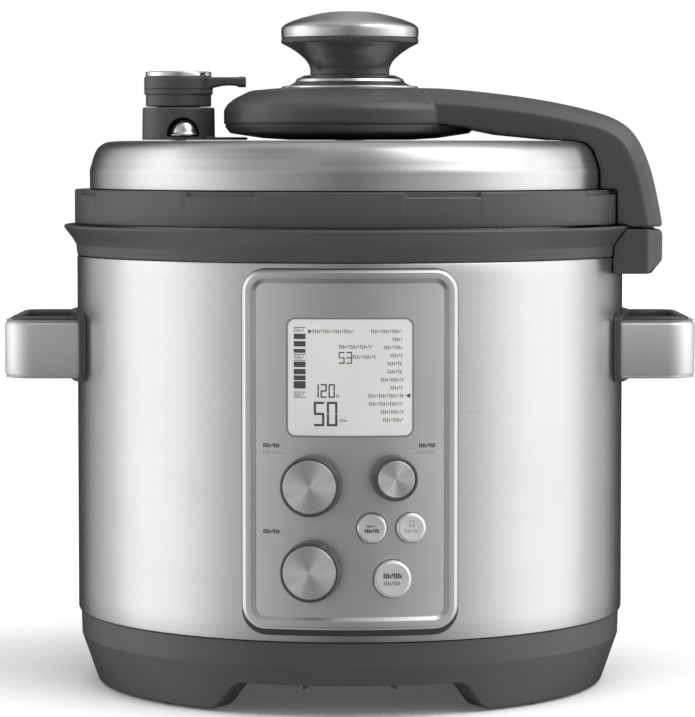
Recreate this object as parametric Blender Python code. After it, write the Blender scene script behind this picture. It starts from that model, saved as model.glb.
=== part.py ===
"""Electric pressure cooker with a hinged, knob-locked lid.

Origin at the centre of the plane it stands on, +Z up, -Y to the front, +X to the hinge side.
Every size is in metres. The driving sizes are named here; the rest of the script derives from them.
"""

import math

import bmesh
import bpy
from mathutils import Matrix, Vector

MM = 0.001

# ---- fits -------------------------------------------------------------------------------------
FIT = 0.4 * MM  # gap between pieces that touch
RUN = 1.4 * MM  # radial clearance of a piece that turns
SIDES = 40  # sides of the large turned shells
MID_SIDES = 28  # sides of the knob, the hub and the inner lid
FINE_SIDES = 20  # sides of parts under 40 mm across
SMALL_SIDES = 12  # sides of pins and stems

# ---- body -------------------------------------------------------------------------------------
BODY_R = 140 * MM
BASE_H = 38 * MM
WRAP_H = 181 * MM
WRAP_WALL = 0.8 * MM
BASE_WALL = 3 * MM
BASE_FOOT_R = 129.7 * MM - 140 * MM  # radius at the floor, from BODY_R
BASE_CREASE_Z = 25 * MM
FLOOR_CLEARANCE = 0.8 * MM  # base edge above the pads' underside
ARCH_H = 16 * MM
ARCH_HALF_TOP = 51 * MM
ARCH_HALF_FLOOR = 68 * MM
BASE_FLOOR_Z = 17 * MM
BASE_FLOOR_T = 3 * MM
BASE_HOLE_R = 60 * MM
BASE_RING_W = 14 * MM  # width of the ring that stands on the floor
FOOT_R = 5.35 * MM
FOOT_IN = 7.7 * MM  # from the base's edge at the floor in to the pads' centres
FOOT_ANGLES = (45, 135, 225, 315)
COVER_PLATE_T = 2.5 * MM
COVER_PLATE_LAP = 12 * MM

# ---- pots -------------------------------------------------------------------------------------
POT_GAP = 29.5 * MM  # from the wrap's outside to the removable pot's outside
POT_WALL = 1.5 * MM
POT_FLOOR_Z = 68 * MM
POT_CORNER_R = 18 * MM
OUTER_POT_GAP = 3.2 * MM
OUTER_POT_WALL = 2 * MM
OUTER_POT_Z = 58 * MM
HEATER_R = 85 * MM
SENSOR_R = 12.6 * MM
SENSOR_STEM_R = 4 * MM
SPRING_WIRE_R = 0.45 * MM
SPRING_TURNS = 3

# ---- bayonet ----------------------------------------------------------------------------------
TEETH = 8
TOOTH_HALF = 9  # degrees
FLANGE_T = 3 * MM
TOOTH_REACH = 4.1 * MM
HOOK_T = 3 * MM
HOOK_DROP = 0.6 * MM
LOCK_WALL = 2.8 * MM
LOCK_PLATE_T = 2.2 * MM
SPOKES = 4
SPOKE_HALF = 8
SPOKE_AT = 15

# ---- collar and lid ---------------------------------------------------------------------------
COLLAR_H = 15.5 * MM
COLLAR_FLARE = 6.7 * MM
SKIRT_OUT = 1.1 * MM
SKIRT_H = 17.2 * MM
SKIRT_WALL = 2.5 * MM
SKIRT_LEDGE_T = 4 * MM
SKIRT_GAP = 0.7 * MM
NOTCHES = 8
NOTCH_AT = 18.5  # degrees from the front toward +X
NOTCH_HALF = 7.75
NOTCH_DEPTH = 2.3 * MM
COVER_IN = 6.6 * MM
COVER_WALL = 1 * MM
COVER_H = 24.3 * MM
COVER_BAND_H = 9.3 * MM

# ---- knob and arm -----------------------------------------------------------------------------
SHAFT_R = 8 * MM
HUB_R = 64.7 * MM
HUB_TOP_H = 19 * MM  # hub face above the seam
ARM_HALF = 48 * MM
ARM_CHAMFER = 8 * MM
ARM_SIDE = 7 * MM
KNOB_R = 35.2 * MM
NECK_R = 20.4 * MM
KNOB_CAP_WALL = 1.2 * MM

# ---- hinge ------------------------------------------------------------------------------------
HINGE_OUT = 13 * MM
HINGE_DROP = 5 * MM  # axis below the collar's top
PIN_R = 2 * MM
BARREL_R = 4.2 * MM
KNUCKLE_HALF = 25 * MM
LEAF_OUT = 0.6 * MM  # outer face of the knuckle's leaf, from the axis
LEAF_H = 9 * MM
BLOCK_H = 22.5 * MM
BLOCK_CHAMFER = 6.5 * MM
HINGE_SEAM = 1.1 * MM

# ---- steam valve ------------------------------------------------------------------------------
VALVE_X = -88 * MM
VALVE_R = 18.7 * MM
VALVE_BASE_H = 16.6 * MM
VALVE_HEAD_R = 17.6 * MM
VALVE_HEAD_H = 9.3 * MM
VALVE_NECK_H = 6 * MM
VALVE_CAP_H = 2.7 * MM
VALVE_LEVER_X = 34.6 * MM
VALVE_LEVER_H = 5.2 * MM
VALVE_LEVER_HALF = 5.5 * MM
PIPE_R = 3.8 * MM
PIPE_BORE = 1.6 * MM
SPOUT_R = 7 * MM
SPOUT_H = 9 * MM
FLOAT_AT = (75 * MM, 143)  # radius and angle from +X
FLOAT_R = 2.5 * MM
FLOAT_TRAVEL = 4 * MM

# ---- handles ----------------------------------------------------------------------------------
HANDLE_REACH = 36.2 * MM
HANDLE_HALF = 44 * MM
HANDLE_DROP = 61.6 * MM  # from the top of the wrap down to the handles' lower edge
HANDLE_H = 31.5 * MM
HANDLE_CORNER = 16 * MM
BAND_T = 2 * MM
CORE_T = 6.6 * MM
CORE_CROWN = 2.3 * MM
GASKET_T = 3 * MM
GASKET_LAP = 1.7 * MM

# ---- control panel ----------------------------------------------------------------------------
PANEL_W = 103 * MM
PANEL_UNDER = 6 * MM
PANEL_OVER = 3 * MM
PANEL_CORNER = 11 * MM
PANEL_RIM = 6.5 * MM
PANEL_RAISE = 3.5 * MM
FACE_RAISE = 2.2 * MM
FACE_CORNER = 5 * MM
LCD_W = 60.8 * MM
LCD_TOP_GAP = 22.7 * MM
LCD_FOOT = 92.3 * MM
LCD_CORNER = 4 * MM
DIAL_OUT = 14.5 * MM
DIAL_GAP = 0.8 * MM
DIAL_FACE_T = 1 * MM
DIAL_SHAFT_R = 3 * MM
# name: (distance to the right of the centre line, height above the panel's foot, radius, face radius)
DIALS = {
    "temp_dial": (-17.5 * MM, 69.6 * MM, 14.5 * MM, 12.9 * MM),
    "time_dial": (-17.5 * MM, 28.9 * MM, 14.5 * MM, 12.9 * MM),
    "select_dial": (19.9 * MM, 73.3 * MM, 10.8 * MM, 9 * MM),
}
BUTTONS = {
    "warm_button": (10.2 * MM, 49.1 * MM, 7.1 * MM),
    "steam_button": (28.4 * MM, 49.1 * MM, 7.1 * MM),
    "stop_button": (19.8 * MM, 24.7 * MM, 9 * MM),
}
BUTTON_OUT = 5 * MM
BUTTON_STEM_R = 2 * MM
BUTTON_TRAVEL = 1.5 * MM
BOARD_Y = 128 * MM - 140 * MM  # board's front face, from BODY_R
BOARD_W = 90 * MM
BOARD_T = 1.6 * MM

# ---- power inlet ------------------------------------------------------------------------------
INLET_W = 36 * MM
INLET_H = 28 * MM
INLET_Z = 62 * MM
INLET_OUT = 11 * MM
SOCKET_W = 24.5 * MM
SOCKET_H = 16.5 * MM
SOCKET_DEPTH = 15 * MM

# ---- derived levels and radii -----------------------------------------------------------------
WRAP_TOP = BASE_H + WRAP_H
COLLAR_TOP = WRAP_TOP + COLLAR_H
SKIRT_Z = COLLAR_TOP + SKIRT_GAP
SKIRT_TOP = SKIRT_Z + SKIRT_H
COVER_TOP = SKIRT_TOP + FIT + COVER_H
SEAM_Z = COVER_TOP + 8 * MM
HUB_TOP = SEAM_Z + HUB_TOP_H
POT_R = BODY_R - POT_GAP
OUTER_POT_R = POT_R + OUTER_POT_GAP + OUTER_POT_WALL
FLANGE_Z = COLLAR_TOP - 4.9 * MM
FLANGE_TOP = FLANGE_Z + FLANGE_T
RIM_TOP = FLANGE_TOP + FIT + 1.7 * MM
FLANGE_R = OUTER_POT_R + 2.8 * MM
TOOTH_R = FLANGE_R + TOOTH_REACH
HOOK_R = FLANGE_R + RUN
LOCK_IN = TOOTH_R + RUN + 0.4 * MM
LOCK_R = LOCK_IN + LOCK_WALL
HOOK_TOP = FLANGE_Z - HOOK_DROP
SKIRT_R = BODY_R + SKIRT_OUT
SKIRT_IN = SKIRT_R - SKIRT_WALL
COVER_R = BODY_R - COVER_IN
LEDGE_IN = COVER_R - COVER_WALL - FIT
INNER_LID_Z = RIM_TOP + 2 * MM
LOCK_PLATE_Z = INNER_LID_Z + 8.7 * MM
LINER_Z = LOCK_PLATE_Z + LOCK_PLATE_T + 1.9 * MM
LINER_T = 2 * MM
HINGE_X = BODY_R + HINGE_OUT
HINGE_Z = COLLAR_TOP - HINGE_DROP
ARM_FOOT = HINGE_Z + BARREL_R + 0.2 * MM
BLOCK_TOP = ARM_FOOT - HINGE_SEAM
ARM_OUT = HINGE_X + BARREL_R
PANEL_Z = BASE_H + PANEL_UNDER
PANEL_TOP = WRAP_TOP - PANEL_OVER
PANEL_H = PANEL_TOP - PANEL_Z
FACE_R = BODY_R + FACE_RAISE
BOARD_FRONT = BODY_R + BOARD_Y
KNOB_Z = HUB_TOP + 22.2 * MM  # underside of the knob's lip
VALVE_Z = COVER_TOP + FIT


# ---- building tools ---------------------------------------------------------------------------
def material(name, colour, roughness, metallic=0.0):
    made = bpy.data.materials.new(name)
    made.use_nodes = True
    shader = made.node_tree.nodes["Principled BSDF"]
    shader.inputs["Base Color"].default_value = (*colour, 1)
    shader.inputs["Roughness"].default_value = roughness
    shader.inputs["Metallic"].default_value = metallic
    made.diffuse_color = (*colour, 1)
    return made


def make(name, bm, look, parent=None, cutter=False):
    """The mesh as an object, its faces turned out and its round sides shaded smooth."""
    bmesh.ops.remove_doubles(bm, verts=bm.verts, dist=1e-6)
    bmesh.ops.recalc_face_normals(bm, faces=bm.faces)
    mesh = bpy.data.meshes.new(name)
    bm.to_mesh(mesh)
    bm.free()
    mesh.shade_smooth()
    mesh.set_sharp_from_angle(angle=math.radians(35))
    made = bpy.data.objects.new(name, mesh)
    bpy.context.scene.collection.objects.link(made)
    if look is not None:
        mesh.materials.append(look)
    if cutter:
        made.hide_render = True
        made.display_type = "WIRE"
    if parent is not None:
        made.parent = parent
        made.matrix_parent_inverse = parent.matrix_world.inverted()
    return made


def shape(target, *others, operation="DIFFERENCE"):
    """Adds one Boolean modifier for each other mesh, and hides that mesh from the render."""
    for other in others:
        other.hide_render = True
        other.display_type = "WIRE"
        step = target.modifiers.new(other.name, "BOOLEAN")
        step.operation = operation
        step.solver = "EXACT"
        step.object = other
    return target


def axis_empty(name, place, parent=None):
    empty = bpy.data.objects.new(name, None)
    empty.location = place
    bpy.context.scene.collection.objects.link(empty)
    if parent is not None:
        empty.parent = parent
        empty.matrix_parent_inverse = parent.matrix_world.inverted()
    bpy.context.view_layer.update()
    return empty


def even_angles(sides):
    """Evenly spaced angles that start half a step in, so flat sides face the axes."""
    return [2 * math.pi * (step + 0.5) / sides for step in range(sides)]


def turned(section, angles=None, centre=(0, 0), sides=SIDES):
    """A turned solid. section is a closed loop of (r, z), or a function of the angle that gives one."""
    bm = bmesh.new()
    rings = []
    for angle in angles or even_angles(sides):
        loop = section(angle) if callable(section) else section
        side, front = math.cos(angle), math.sin(angle)
        rings.append([(r, bm.verts.new((centre[0] + r * side, centre[1] + r * front, z))) for r, z in loop])
    for here, there in zip(rings, rings[1:] + rings[:1]):
        for point in range(len(here)):
            after = (point + 1) % len(here)
            if here[point][0] == 0 and here[after][0] == 0:
                continue
            bm.faces.new((here[point][1], here[after][1], there[after][1], there[point][1]))
    return bm


def rod(radius, low, high, centre=(0, 0), sides=SMALL_SIDES):
    return turned([(0, low), (radius, low), (radius, high), (0, high)], centre=centre, sides=sides)


def tube(inner, outer, low, high, centre=(0, 0), sides=SMALL_SIDES):
    return turned([(inner, low), (outer, low), (outer, high), (inner, high)], centre=centre, sides=sides)


def loft(loops):
    """A solid through loops of the same number of points, closed by a face at each end."""
    bm = bmesh.new()
    rows = [[bm.verts.new(point) for point in loop] for loop in loops]
    for here, there in zip(rows, rows[1:]):
        for point in range(len(here)):
            after = (point + 1) % len(here)
            bm.faces.new((here[point], here[after], there[after], there[point]))
    bm.faces.new(rows[0])
    bm.faces.new(rows[-1])
    return bm


def prism(outline, low, high, along="Z"):
    """An outline extruded. Its plane is XY for along Z, and XZ for along Y."""
    if along == "Z":
        return loft([[(u, v, level) for u, v in outline] for level in (low, high)])
    return loft([[(u, level, v) for u, v in outline] for level in (low, high)])


def block(low, high):
    outline = [(low[0], low[1]), (high[0], low[1]), (high[0], high[1]), (low[0], high[1])]
    return prism(outline, low[2], high[2])


def rounded(width, height, radius, centre=(0, 0), steps=5):
    """A rectangle with round corners, anticlockwise."""
    points = []
    for quarter, (right, up) in enumerate(((1, 1), (-1, 1), (-1, -1), (1, -1))):
        middle = (centre[0] + right * (width / 2 - radius), centre[1] + up * (height / 2 - radius))
        for step in range(steps + 1):
            angle = math.radians(90) * (quarter + step / steps)
            points.append((middle[0] + radius * math.cos(angle), middle[1] + radius * math.sin(angle)))
    return points


def smooth_line(points, steps):
    """A Catmull-Rom line through the points."""
    line = []
    ends = [points[0], *points, points[-1]]
    for before, start, end, after in zip(ends, ends[1:], ends[2:], ends[3:]):
        for step in range(steps):
            t = step / steps
            line.append(
                tuple(
                    0.5 * (2 * b + (c - a) * t + (2 * a - 5 * b + 4 * c - d) * t**2 + (3 * b - a - 3 * c + d) * t**3)
                    for a, b, c, d in zip(before, start, end, after)
                )
            )
    return [*line, points[-1]]


def radial_frame(offset, height):
    """A frame on the body's surface with its Z pointing out. offset is the distance from the centre line."""
    turn = math.asin(offset / BODY_R)
    outward = Vector((math.sin(turn), -math.cos(turn), 0))
    across = Vector((math.cos(turn), math.sin(turn), 0))
    frame = Matrix((across, Vector((0, 0, 1)), outward)).transposed().to_4x4()
    frame.translation = outward * BODY_R + Vector((0, 0, height))
    return frame


def placed(bm, frame):
    bmesh.ops.transform(bm, matrix=frame, verts=bm.verts)
    return bm


def curved_slab(name, inner, outer, outline, look, sides=SIDES, parent=None):
    """A plate that follows the body's curve, trimmed by an outline seen from the front."""
    low = min(v for u, v in outline) - 5 * MM
    high = max(v for u, v in outline) + 5 * MM
    slab = make(name, tube(inner, outer, low, high, sides=sides), look, parent)
    trim = make(name + "_trim", prism(outline, -2 * BODY_R, -BODY_R / 2, "Y"), None, cutter=True)
    return shape(slab, trim, operation="INTERSECT")


def front_hole(name, outline):
    return make(name, prism(outline, -2 * BODY_R, -BODY_R / 2, "Y"), None, cutter=True)


def radial_hole(name, radius, offset, height, depth=20 * MM):
    return make(name, placed(rod(radius, -depth, depth), radial_frame(offset, height)), None, cutter=True)


# ---- materials --------------------------------------------------------------------------------
def looks():
    return {
        "steel": material("brushed_steel", (0.62, 0.61, 0.6), 0.3, 1),
        "polished": material("polished_steel", (0.8, 0.8, 0.8), 0.12, 1),
        "satin": material("satin_metal", (0.66, 0.66, 0.66), 0.35, 1),
        "plastic": material("dark_plastic", (0.07, 0.066, 0.063), 0.45),
        "inner_plastic": material("black_plastic", (0.03, 0.03, 0.03), 0.5),
        "rubber": material("rubber", (0.02, 0.02, 0.02), 0.8),
        "silicone": material("silicone", (0.75, 0.75, 0.73), 0.55),
        "glass": material("display_glass", (0.45, 0.46, 0.45), 0.1),
        "board": material("circuit_board", (0.02, 0.12, 0.05), 0.5),
        "cast": material("cast_aluminium", (0.5, 0.5, 0.5), 0.45, 1),
        "spring": material("spring_steel", (0.5, 0.5, 0.5), 0.3, 1),
    }


# ---- base -------------------------------------------------------------------------------------
def arch_lift(angle):
    """Height of the base's lower edge at an angle: raised over the arches at the front and the back."""
    foot_r = BODY_R + BASE_FOOT_R
    from_arch = abs(math.asin(max(-1, min(1, math.cos(angle)))))
    inner = math.asin(ARCH_HALF_TOP / foot_r)
    outer = math.asin(ARCH_HALF_FLOOR / foot_r)
    share = max(0, min(1, (outer - from_arch) / (outer - inner)))
    return FLOOR_CLEARANCE + (ARCH_H - FLOOR_CLEARANCE) * share * share * (3 - 2 * share)


def base_section(angle):
    foot = arch_lift(angle)
    foot_r = BODY_R + BASE_FOOT_R
    crease_r = BODY_R - 1.7 * MM
    top_r = BODY_R - 1.3 * MM
    slope = (crease_r - foot_r) / (BASE_CREASE_Z - FLOOR_CLEARANCE)
    edge_z = foot + 2.2 * MM
    edge_r = foot_r + slope * (edge_z - FLOOR_CLEARANCE)
    ring_in = foot_r - BASE_RING_W
    floor_top = BASE_FLOOR_Z + BASE_FLOOR_T
    return [
        (BASE_HOLE_R, BASE_FLOOR_Z),
        (ring_in, BASE_FLOOR_Z),
        (ring_in + 0.1 * MM, foot),
        (edge_r - 2.2 * MM, foot),
        (edge_r, edge_z),
        (crease_r, BASE_CREASE_Z),
        (top_r, BASE_H - FIT),
        (top_r - BASE_WALL, BASE_H - FIT),
        (edge_r - BASE_WALL - 1 * MM, foot + BASE_WALL),
        (ring_in + BASE_WALL + 0.6 * MM, foot + BASE_WALL),
        (ring_in + BASE_WALL, floor_top),
        (BASE_HOLE_R, floor_top),
    ]


def base_angles():
    """Even steps, with closer ones where the arches rise."""
    foot_r = BODY_R + BASE_FOOT_R
    inner = math.asin(ARCH_HALF_TOP / foot_r)
    outer = math.asin(ARCH_HALF_FLOOR / foot_r)
    ramps = [inner + (outer - inner) * step / 3 for step in range(4)]
    angles = []
    for quarter in (-math.pi / 2, math.pi / 2):
        middle = [inner * step / 3 for step in range(-2, 3)]
        half = ramps + [outer + (math.pi / 2 - outer) * step / 7 for step in range(1, 7)]
        angles += [quarter + angle for angle in middle + half] + [quarter - angle for angle in half]
    angles += [0, math.pi]
    return sorted(set(round(angle % (2 * math.pi), 9) for angle in angles))


def build_base(look):
    base = make("base_shell", turned(base_section, base_angles()), look["plastic"])
    pad_ring = BODY_R + BASE_FOOT_R - FOOT_IN
    for number, degrees in enumerate(FOOT_ANGLES, 1):
        angle = math.radians(degrees)
        centre = (pad_ring * math.cos(angle), pad_ring * math.sin(angle))
        recess = make(f"foot_recess_{number}", rod(FOOT_R + FIT, -1 * MM, 2 * MM, centre), None, cutter=True)
        shape(base, recess)
        section = [(0, 0), (FOOT_R - 0.6 * MM, 0), (FOOT_R, 0.6 * MM), (FOOT_R, 2 * MM - FIT), (0, 2 * MM - FIT)]
        make(f"foot_pad_{number}", turned(section, centre=centre, sides=SMALL_SIDES), look["rubber"])
    top = BASE_FLOOR_Z - FIT
    plate_r = BASE_HOLE_R + COVER_PLATE_LAP
    plate = make("bottom_cover", rod(plate_r, top - COVER_PLATE_T, top, sides=FINE_SIDES), look["inner_plastic"])
    for slot in range(-3, 4):
        half = 28 * MM - abs(slot) * 3 * MM
        low = (slot * 9 * MM - 1.5 * MM, -half, 0)
        high = (slot * 9 * MM + 1.5 * MM, half, BASE_FLOOR_Z)
        shape(plate, make(f"vent_{slot + 3}", block(low, high), None, cutter=True))


# ---- body shells ------------------------------------------------------------------------------
def build_wrap(look):
    low = BASE_H
    wrap = make("outer_wrap", tube(BODY_R - WRAP_WALL, BODY_R, low, WRAP_TOP - FIT, sides=SIDES), look["steel"])
    width = PANEL_W - PANEL_RIM
    height = PANEL_H - PANEL_RIM
    opening = rounded(width, height, PANEL_CORNER - PANEL_RIM / 2, (0, (PANEL_Z + PANEL_TOP) / 2))
    shape(wrap, front_hole("panel_opening", opening))
    socket = rounded(INLET_W - 6 * MM, INLET_H - 6 * MM, 3 * MM, (0, INLET_Z))
    shape(wrap, make("inlet_opening", prism(socket, BODY_R / 2, 2 * BODY_R, "Y"), None, cutter=True))


def collar_outside():
    """The collar's outer face, from the wrap up to the lip."""
    return [
        (BODY_R, WRAP_TOP + 1 * MM),
        (BODY_R + 0.5 * MM, WRAP_TOP + 5.5 * MM),
        (BODY_R + 2.4 * MM, WRAP_TOP + 8.6 * MM),
        (BODY_R + COLLAR_FLARE, COLLAR_TOP - 1 * MM),
    ]


def build_collar(look):
    trough_z = HOOK_TOP - HOOK_T - 2 * MM
    seat_out = FLANGE_R - 0.2 * MM
    seat_in = OUTER_POT_R + 0.6 * MM
    seat_top = FLANGE_Z - FIT
    section = [
        (seat_in, WRAP_TOP),
        (BODY_R - 0.4 * MM, WRAP_TOP),
        *collar_outside(),
        (BODY_R + COLLAR_FLARE - 0.8 * MM, COLLAR_TOP),
        (BODY_R + 4.6 * MM, COLLAR_TOP),
        (BODY_R - 1.5 * MM, trough_z + 3 * MM),
        (BODY_R - 6.5 * MM, trough_z),
        (seat_out, trough_z),
        (seat_out, seat_top),
        (seat_in, seat_top),
    ]
    make("top_collar", turned(section), look["plastic"])


# ---- pots and heater --------------------------------------------------------------------------
def near_tooth(angle, shift=0.0):
    """True where a bayonet tooth stands. The teeth are evenly spaced from +X."""
    pitch = 360 / TEETH
    off = (math.degrees(angle) - shift + pitch / 2) % pitch - pitch / 2
    return abs(off) <= TOOTH_HALF + 1e-6


def tooth_angles(shift=0.0):
    """Angles that mark each tooth's two flanks with a pair of close steps, and the stretches between."""
    angles = []
    for tooth in range(TEETH):
        middle = tooth * 360 / TEETH + shift
        for off in (-TOOTH_HALF, 0, TOOTH_HALF):
            angles.append(middle + off)
        for off in (-TOOTH_HALF - 0.4, TOOTH_HALF + 0.4, 180 / TEETH):
            angles.append(middle + off)
    return sorted(math.radians(angle % 360) for angle in angles)


def corner(centre, radius, start, end, steps):
    """Points on an arc, in degrees from +R toward +Z."""
    points = []
    for step in range(steps + 1):
        angle = math.radians(start + (end - start) * step / steps)
        points.append((centre[0] + radius * math.cos(angle), centre[1] + radius * math.sin(angle)))
    return points


def build_pots(look):
    inside = POT_R + OUTER_POT_GAP

    def outer_section(angle):
        reach = TOOTH_R if near_tooth(angle) else FLANGE_R
        return [
            (SENSOR_STEM_R + RUN, OUTER_POT_Z),
            (OUTER_POT_R, OUTER_POT_Z),
            (OUTER_POT_R, FLANGE_Z),
            (reach, FLANGE_Z),
            (reach, FLANGE_TOP),
            (inside, FLANGE_TOP),
            (inside, OUTER_POT_Z + OUTER_POT_WALL),
            (SENSOR_STEM_R + RUN, OUTER_POT_Z + OUTER_POT_WALL),
        ]

    make("outer_pot", turned(outer_section, tooth_angles()), look["cast"])
    rim_z = FLANGE_TOP + FIT
    centre = (POT_R - POT_CORNER_R, POT_FLOOR_Z + POT_CORNER_R)
    section = [
        (0, POT_FLOOR_Z),
        *corner(centre, POT_CORNER_R, -90, 0, 3),
        (POT_R, rim_z),
        (POT_R + 6 * MM, rim_z),
        (POT_R + 6 * MM, RIM_TOP),
        (POT_R + 0.3 * MM, RIM_TOP),
        (POT_R - POT_WALL, RIM_TOP - 1.2 * MM),
        *corner(centre, POT_CORNER_R - POT_WALL, 0, -90, 3),
        (0, POT_FLOOR_Z + POT_WALL),
    ]
    make("inner_pot", turned(section), look["steel"])


def build_heater(look, sensor_axis):
    low = OUTER_POT_Z + OUTER_POT_WALL + FIT
    top = POT_FLOOR_Z - FIT
    hole = SENSOR_R + RUN
    section = [(hole, low + 0.6 * MM), (HEATER_R, low + 0.6 * MM), (HEATER_R, top - 1 * MM), (HEATER_R - 1 * MM, top)]
    make("heating_plate", turned([*section, (hole, top)], sides=MID_SIDES), look["cast"])
    head_z = top - 2.4 * MM
    head = [
        (0, low - 12 * MM),
        (SENSOR_STEM_R, low - 12 * MM),
        (SENSOR_STEM_R, head_z),
        (SENSOR_R, head_z),
        (SENSOR_R, top - 0.5 * MM),
        (SENSOR_R - 0.5 * MM, top),
        (0, top),
    ]
    make("sensor_plunger", turned(head, sides=SMALL_SIDES), look["cast"], sensor_axis)
    build_spring(look, low, head_z - FIT)


def build_spring(look, low, high):
    """A compression spring round the sensor's stem, as one closed tube along a helix."""
    radius = (SENSOR_STEM_R + SENSOR_R) / 2
    around, sides = 10, 5
    steps = SPRING_TURNS * around
    start = low + SPRING_WIRE_R
    rise = high - low - 2 * SPRING_WIRE_R
    loops = []
    for step in range(steps + 1):
        angle = 2 * math.pi * step / around
        outward = Vector((math.cos(angle), math.sin(angle), 0))
        middle = outward * radius + Vector((0, 0, start + rise * step / steps))
        loop = []
        for side in range(sides):
            turn = 2 * math.pi * side / sides
            loop.append(middle + (outward * math.cos(turn) + Vector((0, 0, 1)) * math.sin(turn)) * SPRING_WIRE_R)
        loops.append(loop)
    make("sensor_spring", loft(loops), look["spring"])


# ---- handles ----------------------------------------------------------------------------------
def handle_strip(inset, thickness, low, high, side):
    """A U-shaped strip whose outer face lies inset inside the handle's outline."""
    reach = BODY_R + HANDLE_REACH - inset
    half = HANDLE_HALF - inset
    start = BODY_R * 0.9
    outer_r = HANDLE_CORNER - inset
    inner_r = max(outer_r - thickness, 1 * MM)

    def path(far, wide, radius):
        centre = (far - radius, wide - radius)
        right = corner(centre, radius, 0, 90, 5)
        left = [(x, -y) for x, y in reversed(right)]
        return [(start, -wide), *left, *right, (start, wide)]

    outline = path(reach, half, outer_r) + path(reach - thickness, half - thickness, inner_r)[::-1]
    return prism([(side * x, y) for x, y in outline], low, high)


def build_handles(look):
    low = WRAP_TOP - HANDLE_DROP
    top = low + HANDLE_H
    for name, side in (("left", -1), ("right", 1)):
        band_top = top - CORE_CROWN
        band = make(f"handle_band_{name}", handle_strip(0, BAND_T, low, band_top, side), look["satin"])
        clear = BODY_R + FIT + GASKET_T + FIT
        shape(band, make(f"band_trim_{name}", rod(clear, 0, 2 * top, sides=SIDES), None, cutter=True))
        strip = handle_strip(BAND_T + FIT, CORE_T, low + 1 * MM, top, side)
        core = make(f"handle_core_{name}", strip, look["plastic"])
        gasket_low, gasket_high = low - GASKET_LAP, top + GASKET_LAP
        plate = make(
            f"gasket_{name}",
            tube(BODY_R, BODY_R + FIT + GASKET_T, gasket_low, gasket_high, sides=SIDES),
            None,
            cutter=True,
        )
        wide = HANDLE_HALF + GASKET_LAP
        near, far = sorted((side * BODY_R / 2, side * 1.5 * BODY_R))
        window = block((near, -wide, gasket_low - 1 * MM), (far, wide, gasket_high + 1 * MM))
        trim = make(f"gasket_trim_{name}", window, None, cutter=True)
        shape(plate, trim, operation="INTERSECT")
        shape(core, plate, operation="UNION")
        shape(core, make(f"core_trim_{name}", rod(BODY_R + FIT, 0, 2 * top, sides=SIDES), None, cutter=True))


# ---- control panel ----------------------------------------------------------------------------
def lcd_frame():
    """Centre height and height of the display window."""
    low = PANEL_Z + LCD_FOOT
    high = PANEL_TOP - LCD_TOP_GAP
    return (low + high) / 2, high - low


def build_panel(look):
    middle = (PANEL_Z + PANEL_TOP) / 2
    outline = rounded(PANEL_W, PANEL_H, PANEL_CORNER, (0, middle))
    bezel = curved_slab("panel_bezel", BODY_R + FIT, BODY_R + PANEL_RAISE, outline, look["satin"])
    face_w, face_h = PANEL_W - 2 * PANEL_RIM, PANEL_H - 2 * PANEL_RIM
    shape(bezel, front_hole("bezel_opening", rounded(face_w, face_h, FACE_CORNER, (0, middle))))
    inset = rounded(face_w - 2 * FIT, face_h - 2 * FIT, FACE_CORNER - FIT, (0, middle))
    face = curved_slab("panel_face", BODY_R, FACE_R, inset, look["satin"])
    lcd_z, lcd_h = lcd_frame()
    window = rounded(LCD_W, lcd_h, LCD_CORNER, (0, lcd_z))
    glass = rounded(LCD_W - 2 * FIT, lcd_h - 2 * FIT, LCD_CORNER - FIT, (0, lcd_z))
    shape(face, front_hole("lcd_opening", window))
    curved_slab("lcd_window", BODY_R + 0.6 * MM, FACE_R + 0.3 * MM, glass, look["glass"])
    for name, (offset, height, radius, _) in DIALS.items():
        shape(face, radial_hole(name + "_hole", DIAL_SHAFT_R + RUN, offset, PANEL_Z + height))
    for name, (offset, height, radius) in BUTTONS.items():
        shape(face, radial_hole(name + "_hole", radius + FIT, offset, PANEL_Z + height))
    module_w = LCD_W - 4 * MM
    half_depth = math.sqrt((BODY_R - WRAP_WALL) ** 2 - (module_w / 2) ** 2)
    front = -(half_depth - 0.6 * MM)
    back = -(BOARD_FRONT + 0.8 * MM)
    low = (-module_w / 2, front, lcd_z - lcd_h / 2 + 2 * MM)
    make("lcd_module", block(low, (module_w / 2, back, lcd_z + lcd_h / 2 - 2 * MM)), look["glass"])


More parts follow.
